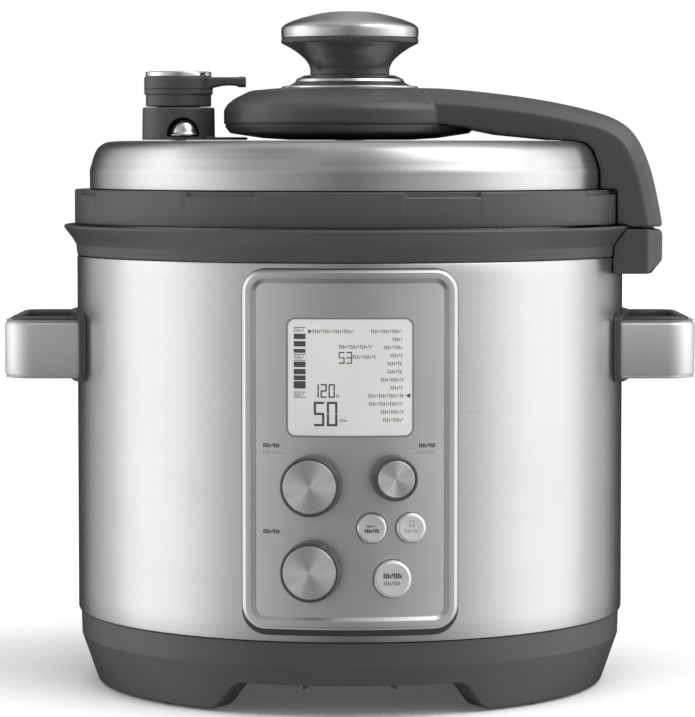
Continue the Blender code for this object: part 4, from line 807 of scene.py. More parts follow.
def make_pots():
    flange_top = levels("outer_pot")[1]
    flange_low = flange_top - 3 * MM
    pot_r = BODY_R - 29.5 * MM
    outer_r = reach("outer_pot") - 6.9 * MM
    floor_z = levels("outer_pot")[0]
    inside = pot_r + 3.2 * MM

    def outer_section(angle):
        edge = outer_r + 2.8 * MM + 4.1 * MM * near_tooth(angle, 0)
        corners = [
            (5.4 * MM, floor_z, 0),
            (outer_r, floor_z, 6 * MM),
            (outer_r, flange_low, 0.6 * MM),
            (edge, flange_low, 0.5 * MM),
            (edge, flange_top, 0.5 * MM),
            (inside, flange_top, 0.4 * MM),
            (inside, floor_z + 2 * MM, 4 * MM),
            (5.4 * MM, floor_z + 2 * MM, 0),
        ]
        return filleted(corners, 3)

    piece("heating_pot", turned(outer_section, angles=tooth_angles(0)), "cast", "housing", "outer_pot")
    floor, top = levels("inner_pot")
    rim = top - 1.7 * MM
    section = [
        (0, floor, 0),
        (pot_r, floor, 18 * MM),
        (pot_r, rim, 0.6 * MM),
        (pot_r + 6 * MM, rim, 0.7 * MM),
        (pot_r + 6 * MM, top, 0.8 * MM),
        (pot_r - SHEET, top, 3 * MM),
        (pot_r - SHEET, floor + SHEET, 16.5 * MM),
        (0, floor + SHEET, 0),
    ]
    piece("cooking_pot", turned(filleted(section, 8)), "pot_steel", "housing", "inner_pot")
    marks = []
    for number, level in enumerate(range(60, 150, 15)):
        half = 9 * MM if number % 2 == 0 else 5 * MM
        marks.append((-half, half, floor + level * MM, floor + level * MM + 0.5 * MM))
    strip = boxes(marks, -0.12 * MM, 0.05 * MM)
    strip = turned_to(on_body(strip, pot_r - SHEET), 180)
    piece("fill_marks", strip, "ink", "housing", slot="pot_steel")


# ---- handles ----------------------------------------------------------------------------------
def handle_path(reach_x, half, corner_r, start):
    """The U of a handle in plan, from the body out and back, with each point's inward direction."""
    points = []
    for step in range(7):
        points.append((start + (reach_x - corner_r - start) * step / 6, -half))
    points += arc_points(-90, 90, 16, (reach_x - corner_r, -half + corner_r), corner_r)[1:]
    for step in range(1, 9):
        points.append((reach_x, -half + corner_r + (half - corner_r) * step / 8))
    points += [(x, -y) for x, y in reversed(points[:-1])]
    return points


def swept(points, section):
    """A section of (inward, z) carried along a path in plan, which turns to the left."""
    loops = []
    for index, (x, y) in enumerate(points):
        before = points[max(index - 1, 0)]
        after = points[min(index + 1, len(points) - 1)]
        run = Vector((after[0] - before[0], after[1] - before[1])).normalized()
        loops.append([(x - run.y * inward, y + run.x * inward, z) for inward, z in section])
    return loft(loops)


def make_handles():
    start = BODY_R - 6 * MM
    for name, facing in (("left", 180), ("right", 0)):
        low, high = levels(f"handle_band_{name}")
        core = node_points(f"handle_core_{name}")
        crown = core[abs(core[:, 0]) > BODY_R + 8 * MM][:, 2].max()
        band_low, band_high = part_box(f"handle_band_{name}")
        far = max(-band_low.x, band_high.x)
        half = band_high.y
        outer = [
            (0, low, 5.5 * MM),
            (0, high, 5 * MM),
            (5 * MM, high, 0.2 * MM),
            (5 * MM, high - 1.5 * MM, 0.2 * MM),
            (2 * MM, high - 6 * MM, 2 * MM),
            (2 * MM, low + 6 * MM, 2 * MM),
            (5 * MM, low + 1.5 * MM, 0.2 * MM),
            (5 * MM, low, 0.2 * MM),
        ]
        path = handle_path(far, half, 16 * MM, start)
        band = swept(path, bulged(filleted(outer, 7), low, high, 1.7 * MM))
        piece(f"handle_metal_{name}", turned_to(band, facing), "handle", "housing", f"handle_band_{name}")
        inner = [
            (2.2 * MM, high - 5 * MM, 0),
            (2.2 * MM, low + 5 * MM, 0),
            (4.4 * MM, low + 0.7 * MM, 0.8 * MM),
            (9 * MM, low + 0.7 * MM, 2.4 * MM),
            (9 * MM, crown - 1 * MM, 2.4 * MM),
            (6 * MM, crown, 1.5 * MM),
            (4.6 * MM, high + 0.9 * MM, 0.8 * MM),
            (4.6 * MM, high - 1.2 * MM, 0),
        ]
        grip = turned_to(swept(path, filleted(inner, 5)), facing)
        piece(f"handle_grip_{name}", grip, "plastic", "housing", f"handle_core_{name}")
        seat_low, seat_high = levels(f"handle_core_{name}")
        width = 2 * (half + 1.7 * MM)
        outline = rounded(width, seat_high - seat_low, 6 * MM, (0, (seat_low + seat_high) / 2), 10)
        seat = turned_to(slab(BODY_R + 0.2 * MM, BODY_R + 3.4 * MM, outline), 90 if facing == 0 else -90)
        bevelled(piece(f"handle_seat_{name}", seat, "plastic", "housing"), 0.8 * MM, 3)


def bulged(section, low, high, amount):
    """The section with its outer side swelling a little between its lower and upper edge."""
    swollen = []
    for inward, z in section:
        share = 1 - abs(2 * (z - low) / (high - low) - 1) ** 2
        swollen.append((inward + amount * (1 - share) if inward < 1 * MM else inward, z))
    return swollen


# ---- control panel ----------------------------------------------------------------------------
# each control's distance across from the panel's middle, and up from its lower edge
DIALS = {"temp": (-17.5 * MM, 69.6 * MM), "time": (-17.5 * MM, 28.9 * MM), "select": (19.9 * MM, 73.3 * MM)}
BUTTONS = {"warm": (10.2 * MM, 49.1 * MM), "steam": (28.4 * MM, 49.1 * MM), "stop": (19.8 * MM, 24.7 * MM)}
PANEL_RIM = 6.5 * MM
PANEL_CORNER = 11 * MM
FACE_OUT = 2.2 * MM
LCD_LOW, LCD_HIGH = levels("lcd_window")
LCD_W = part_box("lcd_window")[1].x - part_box("lcd_window")[0].x
LCD_OUT = FACE_OUT + 0.02 * MM  # where the display's print begins, just proud of its glass


def button_radius(name):
    return 9 * MM if name == "stop" else 7.1 * MM


def upright_hole(radius, offset, height):
    """A cutter that runs out square to the body at a place on the panel."""
    hole = rod(radius, -20 * MM, 20 * MM)
    bmesh.ops.transform(hole, matrix=radial_place(offset, PANEL_LOW + height), verts=hole.verts)
    return hole


def make_panel():
    height = PANEL_HIGH - PANEL_LOW
    profile = [
        (0, 0.2 * MM, 0),
        (0, 2.2 * MM, 0.9 * MM),
        (1.5 * MM, 3.45 * MM, 0.9 * MM),
        (4.4 * MM, 3.3 * MM, 1.4 * MM),
        (6.2 * MM, 2.35 * MM, 1.2 * MM),
        (6.62 * MM, 2.25 * MM, 0),
        (6.62 * MM, 0.2 * MM, 0),
    ]
    bezel = frame_ring(PANEL_W, height, PANEL_CORNER, PANEL_MIDDLE, filleted(profile, 5))
    piece("bezel", bezel, "satin", "housing", "panel_bezel")
    # A dark seal under the bezel, set 1.2 mm low and made 3.4 mm taller: it is hidden at the top, and its
    # lower edge shows below the bezel as a painted shadow under the panel.
    seat = [(0, 0.1 * MM, 0), (0, 1.6 * MM, 1.2 * MM), (4 * MM, 2 * MM, 0), (4 * MM, 0.1 * MM, 0)]
    size = (PANEL_W + 0.7 * MM, height + 3.4 * MM, PANEL_CORNER + 1 * MM)
    seal_and_shadow = frame_ring(*size, PANEL_MIDDLE - 1.2 * MM, filleted(seat, 4))
    piece("bezel_seal_and_shadow", seal_and_shadow, "inner", "housing", slot="dark_plastic")
    width, tall = PANEL_W - 2 * PANEL_RIM - 0.1 * MM, height - 2 * PANEL_RIM - 0.1 * MM
    lcd_middle, lcd_h = (LCD_LOW + LCD_HIGH) / 2, LCD_HIGH - LCD_LOW
    window = rounded(LCD_W + 2 * FIT, lcd_h + 2 * FIT, 4.4 * MM, (0, lcd_middle))
    holes = [prism(window, -2 * BODY_R, -BODY_R / 2, "Y")]
    holes += [upright_hole(6 * MM, *place) for place in DIALS.values()]
    for name, place in BUTTONS.items():
        holes.append(upright_hole(button_radius(name) + FIT, *place))
    outline = rounded(width, tall, 4.6 * MM, (0, PANEL_MIDDLE))
    plate = slab(BODY_R + 0.1 * MM, BODY_R + FACE_OUT, outline, *holes)
    bevelled(piece("panel_plate", plate, "face", "housing", "panel_face"), 0.25 * MM, 2)
    rim = [
        (-0.45 * MM, 1.8 * MM, 0),
        (-0.45 * MM, 2.35 * MM, 0.15 * MM),
        (0.5 * MM, 2.3 * MM, 0.1 * MM),
        (0.5 * MM, 1.8 * MM, 0),
    ]
    rim_ring = frame_ring(LCD_W, lcd_h, 4 * MM, lcd_middle, filleted(rim, 3))
    piece("lcd_rim", rim_ring, "trim", "housing")
    outline = rounded(LCD_W - 1 * MM, lcd_h - 1 * MM, 3.5 * MM, (0, lcd_middle))
    glass = slab(BODY_R + 0.8 * MM, BODY_R + FACE_OUT, outline)
    piece("lcd_glass", glass, "display", "housing", "lcd_window")
    make_display_marks()
    make_labels()


SEGMENTS = {"0": "abcdef", "1": "bc", "2": "abged", "3": "abgcd", "5": "afgcd"}


def digit(figure, left, top, width, height, stroke):
    """The cells (left, right, bottom, top) of a seven-segment figure."""
    right, bottom, middle = left + width, top - height, top - height / 2
    gap = stroke * 0.15
    cells = {
        "a": (left + gap, right - gap, top - stroke, top),
        "g": (left + gap, right - gap, middle - stroke / 2, middle + stroke / 2),
        "d": (left + gap, right - gap, bottom, bottom + stroke),
        "f": (left, left + stroke, middle + gap, top - gap),
        "b": (right - stroke, right, middle + gap, top - gap),
        "e": (left, left + stroke, bottom + gap, middle - gap),
        "c": (right - stroke, right, bottom + gap, middle - gap),
    }
    return [cells[name] for name in SEGMENTS[figure]]


def ticks(left, right, middle, height, seed=0):
    """A row of small strokes, the grey of a line of small print without any letters."""
    cells = []
    at, index = left, seed
    while at + 0.75 * MM <= right + 1e-9:
        kind = (index * 7 + seed * 3) % 5
        top = middle + height * (0.5 if kind != 1 else 0.18)
        bottom = middle - height * (0.5 if kind != 3 else 0.12)
        cells.append((at, at + 0.32 * MM, bottom, top))
        if kind in (0, 2, 4):
            level = middle + height * (0.36 if kind == 0 else (-0.42 if kind == 2 else -0.02))
            cells.append((at, at + 0.75 * MM, level, level + 0.24 * MM))
        at += 1.0 * MM
        index += 1
    return cells


def printed(name, cells, out, rise, look, slot=None):
    """Cells as a thin print on a face that stands out from the body."""
    piece(name, on_body(boxes(cells, out - PRINT_DEEP, out + rise)), look, "housing", slot=slot)


def make_display_marks():
    """The gauge, the figures, the rows of small print and the arrows of the display."""
    left = -LCD_W / 2
    top = LCD_HIGH
    solid, fine = [], []
    gauge = ((7.4, 9.9), (10.9, 13.4), (14.6, 16.4), (20.6, 23.2), (24.1, 26.6), (27.2, 29.4), (29.9, 33.4))
    rules = ((4.2, 4.5), (34.9, 35.2), (37.4, 37.7), (17.0, 17.3), (19.8, 20.1))
    for kind, spans in ((solid, gauge), (fine, rules)):
        for start, end in spans:
            kind.append((left + 3.3 * MM, left + 8.9 * MM, top - end * MM, top - start * MM))
    # start and end across, level down, height of the strokes, and which strokes, for each line of print
    print_rows = [(3.7, 8.8, level, 1.5, 2) for level in (5.8, 18.5, 36.3)]
    print_rows += [(12.3, 32.8, 6.2, 1.7, 1), (24.8, 40.6, 13.5, 1.7, 4), (31.4, 43, 18.3, 1.7, 3)]
    widths = (15.5, 5.3, 9.5, 6.3, 7.7, 7.7, 10.9, 6.3, 16.9, 16.5, 10.9, 9.9)
    print_rows += [(55.6 - width, 55.6, 6.2 + 3.83 * row, 1.7, row) for row, width in enumerate(widths)]
    print_rows += [(23.4, 25.4, 36.9, 1.4, 5), (25, 29, 48.5, 1.4, 2)]
    for start, end, level, tall, kind in print_rows:
        fine += ticks(left + start * MM, left + end * MM, top - level * MM, tall * MM, kind)
    # figures, first one's left edge, pitch, level down, width, height and stroke of each
    for figures, start, pitch, level, width, tall, stroke, kind in (
        ("53", 24.6, 3.6, 15.9, 2.8, 5.6, 0.5, fine),
        ("120", 12.2, 3.8, 31.2, 3, 6.5, 0.62, solid),
        ("50", 12.8, 6.2, 39.6, 5, 11.6, 1.05, solid),
    ):
        for index, figure in enumerate(figures):
            at = left + (start + pitch * index) * MM
            kind += digit(figure, at, top - level * MM, width * MM, tall * MM, stroke * MM)
    printed("lcd_marks", solid, LCD_OUT, PRINT_RISE, "ink", "display")
    printed("lcd_print", fine, LCD_OUT, FINE_RISE, "ink", "display")
    arrows = []
    for tip, tail, level in ((12, 10.2, 6.2), (56.4, 58.6, 36.8)):
        points = [(tip, level), (tail, level - 1.1), (tail, level + 1.1)]
        places = [(left + across * MM, top - down * MM) for across, down in points]
        arrows.append(prism(places, LCD_OUT - PRINT_DEEP, LCD_OUT + PRINT_RISE, "Y"))
    piece("lcd_arrows", on_body(joined(*arrows)), "ink", "housing", slot="display")


def make_labels():
    """Dark and pale strips of small strokes beside the dials, with a thin line leading to each dial."""
    edge = PANEL_W / 2 - PANEL_RIM - 3.6 * MM
    bold, pale = [], []
    for side, level, second in ((-1, 88.2, True), (-1, 47, False), (1, 88.2, True)):
        up = PANEL_LOW + level * MM
        first, last = sorted((side * edge, side * (edge - 8.6 * MM)))
        bold += ticks(first, last, up, 1.9 * MM, 3)
        bold += ticks(first + 0.35 * MM, last, up, 1.9 * MM, 1)
        if second:
            first, last = sorted((side * edge, side * (edge - 9.6 * MM)))
            pale += ticks(first, last, up - 3.3 * MM, 1.5 * MM, 2)
        first, last = sorted((side * (edge - 9.3 * MM), side * (edge - 13.8 * MM)))
        pale.append((first, last, up - 1.5 * MM, up - 1.3 * MM))
    printed("label_bold", bold, FACE_OUT, PRINT_RISE, "ink")
    printed("label_pale", pale, FACE_OUT, FINE_RISE, "pale_ink")


def make_dials():
    for name, (offset, height) in DIALS.items():
        radius = 10.8 * MM if name == "select" else 14.5 * MM
        face_r = 9 * MM if name == "select" else 12.9 * MM
        place = radial_place(offset, PANEL_LOW + height)
        body = f"{name}_control"
        skirt = [
            (0, -4 * MM, 0),
            (3 * MM, -4 * MM, 0.3 * MM),
            (3 * MM, 3 * MM, 0.3 * MM),
            (radius - 0.4 * MM, 3 * MM, 0.4 * MM),
            (radius, 4 * MM, 0.5 * MM),
            (radius - 0.25 * MM, 13.2 * MM, 0.6 * MM),
            (radius - 0.9 * MM, 14.2 * MM, 0.4 * MM),
            (face_r + 0.2 * MM, 14.2 * MM, 0.2 * MM),
            (face_r + 0.2 * MM, 13 * MM, 0),
            (0, 13 * MM, 0),
        ]
        grip = turned(filleted(skirt), sides=MID_TURN_SIDES)
        piece(f"{name}_knob", grip, "gloss_plastic", body, f"{name}_dial", place=place)
        disc = [
            (0, 13.1 * MM, 0),
            (face_r, 13.1 * MM, 0),
            (face_r, 13.75 * MM, 0.15 * MM),
            (face_r - 0.75 * MM, 14.35 * MM, 0.12 * MM),
            (face_r - 1.1 * MM, 14.3 * MM, 0.1 * MM),
            (0, 14.15 * MM, 0),
        ]
        face = turned(filleted(disc, 3), sides=128)
        piece(f"{name}_disc", face, "dial_steel", body, f"{name}_dial_face", place=place)


def make_buttons():
    for name, (offset, height) in BUTTONS.items():
        radius = button_radius(name)
        place = radial_place(offset, PANEL_LOW + height)
        top = 5 * MM
        section = [
            (0, -2.6 * MM, 0),
            (radius, -2.6 * MM, 0.2 * MM),
            (radius, top - 1.3 * MM, 0.3 * MM),
            (radius - 0.55 * MM, top - 0.5 * MM, 0.4 * MM),
            (radius - 1.3 * MM, top - 0.15 * MM, 0.4 * MM),
            (radius * 0.5, top - 0.28 * MM, 4 * MM),
            (0, top - 0.34 * MM, 0),
        ]
        cap = turned(filleted(section), sides=MID_TURN_SIDES)
        piece(f"{name}_cap", cap, "key", f"{name}_key", f"{name}_button", place=place)
        cells = []
        if name == "steam":
            cells += digit("0", -1.2 * MM, 3.6 * MM, 2.4 * MM, 2.8 * MM, 0.35 * MM)
            rows = ((-1.4, 3.6, 1.5),)
        elif name == "warm":
            rows = ((1.1, 2.8, 1.3), (-1.2, 3.6, 1.7))
        else:
            rows = ((1.7, 4.6, 2.4), (-1.9, 4.3, 1.7))
        for index, (level, half, tall) in enumerate(rows):
            cells += ticks(-half * MM, half * MM, level * MM, tall * MM, index)
            if index == len(rows) - 1 and name == "warm" or index == 0 and name == "stop":
                cells += ticks((0.35 - half) * MM, half * MM, level * MM, tall * MM, index + 2)
        marks = boxes(cells, -(top - 0.2 * MM), -(top - 0.36 * MM))
        for vertex in marks.verts:
            across, out, up = vertex.co
            vertex.co = (across, up, -out)
        look = "pale_ink" if name == "steam" else "ink"
        piece(f"{name}_marks", marks, look, f"{name}_key", place=place)


# ---- power inlet ------------------------------------------------------------------------------
def make_inlet():
    low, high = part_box("power_inlet")
    width, height = high.x - low.x, high.z - low.z
    middle_z = (low.z + high.z) / 2
    out = high.y
    shell = []
    for inset, y in ((0.9, -18), (0, -16.5), (0, -2.2), (0.35, -1), (1.2, -0.2), (2, 0)):
        side = inset * MM
        outline = rounded(width - 2 * side, height - 2 * side, 5 * MM - side * 0.8, (0, middle_z), 8)
        shell.append([(u, out + y * MM, v) for u, v in outline])
    socket = prism(rounded(24.5 * MM, 16.5 * MM, 3 * MM, (0, middle_z)), out - 15 * MM, out + 5 * MM, "Y")
    trim = rod(BODY_R + 0.05 * MM, 0, WRAP_TOP, sides=BODY_SIDES)
    housing = combined(loft(shell), trim, socket)
    piece("inlet_shell", housing, "inner", "housing", "power_inlet")
    back = out - 15 * MM
    cup_outline = rounded(26 * MM, 18 * MM, 3.6 * MM, (0, middle_z))
    cup = combined(
        prism(cup_outline, back - 2 * MM, out - 9 * MM, "Y"),
        prism(rounded(24.5 * MM, 16.5 * MM, 3 * MM, (0, middle_z)), back, out + 5 * MM, "Y"),
    )
    piece("inlet_cup", cup, "inner", "housing")
    blades = []
    for x, z in ((-7, -1.5), (0, 2.5), (7, -1.5)):
        centre = (x * MM, middle_z + z * MM)
        rings = []
        for inset, y in ((0, -0.5), (0, 9.4), (0.3, 9.9), (0.8, 10.2)):
            outline = rounded((2 - inset) * MM, (4 - inset) * MM, 0.5 * MM, centre, 4)
            rings.append([(u, back + y * MM, v) for u, v in outline])
        blades.append(loft(rings))
    piece("inlet_blades", joined(*blades), "bright", "housing")


# ---- lid --------------------------------------------------------------------------------------
NOTCHES = 8
NOTCH_AT = 18.5 - 90  # degrees, the first one 18.5 degrees to the right of the front
NOTCH_HALF = 7.75
NOTCH_DEPTH = 2.3 * MM


def notch_drop(angle):
    """How far the skirt's top edge is cut down at an angle."""
    return NOTCH_DEPTH * repeat_share(angle, NOTCHES, NOTCH_AT, NOTCH_HALF + 0.35, 0.5)


def skirt_section(angle):
    top = SKIRT_TOP - notch_drop(angle)
    ledge_in = COVER_R - 1.4 * MM
    notch_in = SKIRT_R - 3.1 * MM
    corners = [
        (SKIRT_R - 2.5 * MM, SKIRT_LOW, 0.4 * MM),
        (SKIRT_R, SKIRT_LOW, 0.6 * MM),
        (SKIRT_R, top, 0.9 * MM),
        (notch_in, top, 0.15 * MM),
        (notch_in - 0.2 * MM, SKIRT_TOP, 0.3 * MM),
        (ledge_in, SKIRT_TOP, 0.3 * MM),
        (ledge_in, SKIRT_TOP - 4 * MM, 0.4 * MM),
        (SKIRT_R - 2.5 * MM, SKIRT_TOP - 4 * MM, 0.8 * MM),
    ]
    return filleted(corners, 4)


def cover_outside(grow=0.0, steps=5):
    """The lid cover's outer face from its lower edge up to the flat top, moved out by grow."""
    band_h = 9.3 * MM
    rise = COVER_TOP - COVER_LOW - band_h
    shoulder = ((0.8, 0.19), (2, 0.46), (4.2, 0.75), (8, 0.927), (13, 0.98), (22, 0.995))
    points = [(COVER_R + grow, COVER_LOW + band_h - 2 * MM), (COVER_R + grow, COVER_LOW + band_h)]
    for inward, share in shoulder:
        points.append((COVER_R - inward * MM + grow, COVER_LOW + band_h + rise * share + grow * share))
    points.append((COVER_R - 53 * MM, COVER_TOP + grow))
    return [(COVER_R + grow, COVER_LOW), *smooth_line(points, steps)]


def make_lid_shells():
    angles = stepped_angles(NOTCHES, NOTCH_AT, NOTCH_HALF, (-0.15, 0.0, 0.1, 0.2, 0.35))
    piece("skirt", turned(skirt_section, angles=angles), "plastic", "lid", "lid_skirt")
    outside = cover_outside()
    edge = [(COVER_R - 0.35 * MM, COVER_LOW), (COVER_R, COVER_LOW + 0.35 * MM)]
    inside = [(r - 0.9 * MM, min(z, COVER_TOP - 1 * MM)) for r, z in outside[2:]]
    inside = [(COVER_R - 1 * MM, COVER_LOW)] + inside
    hole = 13 * MM
    section = [*edge, *outside[1:], (hole, COVER_TOP), (hole, COVER_TOP - 1 * MM), *reversed(inside)]
    piece("cover", turned(section), "lid_steel", "lid", "lid_cover")
    low, high = levels("lid_liner")
    liner_z = high - 2 * MM
    wall_in, wall_out = reach("lock_ring") + RUN, reach("lid_liner")
    section = [
        (9.4 * MM, liner_z, 0.4 * MM),
        (wall_in, liner_z, 0.8 * MM),
        (wall_in, low, 0.5 * MM),
        (wall_out, low, 0.5 * MM),
        (wall_out, high, 1 * MM),
        (9.4 * MM, high, 0.4 * MM),
    ]
    piece("liner", turned(filleted(section)), "inner", "lid", "lid_liner")


def make_inner_lid():
    low, high = levels("inner_lid")
    outer = reach("inner_lid")
    sheet = 1.2 * MM
    groove = 102.5 * MM
    float_at = middle_of("float_pin")
    corners = [
        (6.6 * MM, low, 0.3 * MM),
        (40 * MM, low, 8 * MM),
        (44 * MM, low + 0.8 * MM, 8 * MM),
        (groove - 10 * MM, low + 0.8 * MM, 3 * MM),
        (groove - 4.5 * MM, low, 3 * MM),
        (groove, high - sheet, 2 * MM),
        (outer - sheet, high - sheet, 1 * MM),
        (outer - sheet, low + 0.4 * MM, 0.2 * MM),
        (outer, low + 0.4 * MM, 0.3 * MM),
        (outer, high, 1.6 * MM),
        (groove - 0.6 * MM, high, 2.4 * MM),
        (groove - 5.1 * MM, low + sheet, 2.4 * MM),
        (6.6 * MM, low + sheet, 0.3 * MM),
    ]
    holes = [
        rod(4.3 * MM, low - 5 * MM, low + 5 * MM, (VALVE_X, 0)),
        rod(3.1 * MM, low - 5 * MM, low + 5 * MM, (float_at.x, float_at.y)),
    ]
    plate = combined(turned(filleted(corners, 6)), *holes)
    piece("inner_cover", plate, "pot_steel", "lid", "inner_lid")
    seal_low, seal_high = levels("sealing_gasket")
    seal_out = reach("sealing_gasket")
    corners = [
        (groove + 2.6 * MM, seal_high, 0.5 * MM),
        (groove + 2.6 * MM, seal_high - 1.8 * MM, 0.7 * MM),
        (111.5 * MM, seal_low + 1.4 * MM, 0.8 * MM),
        (111.9 * MM, seal_low, 0.5 * MM),
        (seal_out - 0.6 * MM, seal_low, 1.2 * MM),
        (seal_out, seal_low + 1.6 * MM, 1 * MM),
        (seal_out, seal_high, 0.6 * MM),
    ]
    piece("gasket", turned(filleted(corners)), "silicone", "lid", "sealing_gasket")


def make_arm():
    """The arm and its hub as one moulding, cut to clear the lid beneath."""
    far = BODY_R
    line = (
        (20 * MM, HUB_LOW + 18.3 * MM),
        (50 * MM, HUB_LOW + 17.8 * MM),
        (far - 50.6 * MM, HUB_LOW + 13.4 * MM),
        (far - 20.3 * MM, HUB_LOW + 7.3 * MM),
        (far - 4 * MM, HUB_LOW + 1.2 * MM),
        (far + 5 * MM, HUB_LOW - 8 * MM),
        (far + 11.3 * MM, HUB_LOW - 23 * MM),
        (ARM_OUT - 1.7 * MM, HUB_LOW - 41 * MM),
        (ARM_OUT, ARM_FOOT),
    )
    upper = smooth_line(line, 8)
    lower = [
        (BODY_R - 36 * MM, ARM_FOOT),
        (BODY_R - 37 * MM, COVER_TOP + FIT),
        (HUB_R + 11.3 * MM, COVER_TOP + 3 * MM),
        (HUB_R - 6.7 * MM, COVER_TOP + 6.6 * MM),
        (HUB_R - 20 * MM, HUB_LOW + FIT),
        (20 * MM, HUB_LOW + FIT),
    ]
    stations = []
    for across, inset in ((-1, 8), (-0.93, 3.4), (-0.854, 0), (0.854, 0), (0.93, 3.4), (1, 8)):
        stations.append((across * ARM_HALF, inset_line(upper, inset * MM) + lower))
    arm = loft([[(x, y, z) for x, z in outline] for y, outline in stations])
    hub = [
        (0, HUB_LOW, 0),
        (HUB_R, HUB_LOW, 0.8 * MM),
        (HUB_R, HUB_LOW + 7.6 * MM, 2 * MM),
        (HUB_R - 1.8 * MM, HUB_LOW + 10.6 * MM, 3 * MM),
        (HUB_R - 5.4 * MM, HUB_LOW + 13.5 * MM, 5 * MM),
        (HUB_R - 13.7 * MM, HUB_LOW + 17.6 * MM, 10 * MM),
        (HUB_R - 29.7 * MM, HUB_TOP, 1 * MM),
        (0, HUB_TOP, 0),
    ]
    whole = combined(arm, turned(filleted(hub)), operation="UNION")
    low = ARM_FOOT - 10 * MM
    lip_r, lip_z = BODY_R + 7.5 * MM, COLLAR_TOP + 0.6 * MM
    envelope = [
        (0, low),
        (lip_r, low),
        (lip_r, lip_z),
        (SKIRT_R + 2 * FIT, lip_z),
        (SKIRT_R + 2 * FIT, SKIRT_TOP + FIT),
        (COVER_R + FIT, SKIRT_TOP + FIT),
        *cover_outside(FIT, 3)[2:-1],
        (HUB_R + 0.1 * MM, COVER_TOP + FIT),
        (HUB_R + 0.1 * MM, HUB_LOW + FIT),
        (0, HUB_LOW + FIT),
    ]
    bore = rod(13 * MM, HUB_LOW - 9 * MM, HUB_TOP + 9 * MM, sides=MID_TURN_SIDES)
    pocket = block(
        (HINGE_X - 4.4 * MM, -25.4 * MM, ARM_FOOT - 5 * MM),
        (HINGE_X + 1 * MM, 25.4 * MM, ARM_FOOT + 9.4 * MM),
    )
    whole = combined(whole, turned(envelope), bore, pocket)
    piece("arm", softened(whole, 0.85 * MM, 3), "plastic", "lid", "arm_top", crease=50)
    bowl = [
        (13 * MM, COVER_TOP + FIT, 0),
        (31 * MM, COVER_TOP + FIT, 3 * MM),
        (45 * MM, COVER_TOP + 1.3 * MM, 6 * MM),
        (HUB_R - 3.1 * MM, COVER_TOP + 3.8 * MM, 3 * MM),
        (HUB_R - 0.3 * MM, HUB_LOW - FIT, 0.3 * MM),
        (HUB_R - 3 * MM, HUB_LOW - FIT, 0.3 * MM),
        (HUB_R - 6 * MM, COVER_TOP + 5.8 * MM, 1 * MM),
        (31 * MM, COVER_TOP + 2.5 * MM, 1 * MM),
        (13 * MM, COVER_TOP + 2.5 * MM, 0),
    ]
    piece("arm_bowl", turned(filleted(bowl)), "plastic", "lid", "arm_bottom")
    seam = [(HUB_R - 1.6 * MM, HUB_LOW - 0.9 * MM), (HUB_R - 0.9 * MM, HUB_LOW - 0.9 * MM)]
    seam += [(HUB_R - 0.9 * MM, HUB_LOW + 0.5 * MM), (HUB_R - 1.6 * MM, HUB_LOW + 0.5 * MM)]
    piece("hub_seam", turned(seam), "inner", "lid", slot="dark_plastic")
    ring_r = reach("hub_ring")
    ring = [
        (13 * MM, HUB_TOP - 0.1 * MM, 0),
        (ring_r, HUB_TOP - 0.1 * MM, 0.1 * MM),
        (ring_r, HUB_TOP + 0.7 * MM, 0.4 * MM),
        (ring_r - 4 * MM, HUB_TOP + 1.3 * MM, 2 * MM),
        (ring_r - 7 * MM, HUB_TOP + 3 * MM, 2 * MM),
        (ring_r - 7.6 * MM, HUB_TOP + 4.5 * MM, 1 * MM),
        (ring_r - 11.5 * MM, HUB_TOP + 6.4 * MM, 2.5 * MM),
        (13 * MM, HUB_TOP + 6.4 * MM, 0),
    ]
    piece("hub_collar", turned(filleted(ring)), "polished", "lid", "hub_ring")


def inset_line(line, amount):
    """The line moved toward the arm's inside: down over the lid, and inward round the bend."""
    focus_x, focus_z = BODY_R - 45 * MM, ARM_FOOT + 6 * MM
    moved = []
    for x, z in line:
        run = Vector((min(focus_x - x, 0), focus_z - z)).normalized()
        moved.append((x + run[0] * amount, z + run[1] * amount))
    moved[-1] = (line[-1][0] - amount, line[-1][1])
    return moved


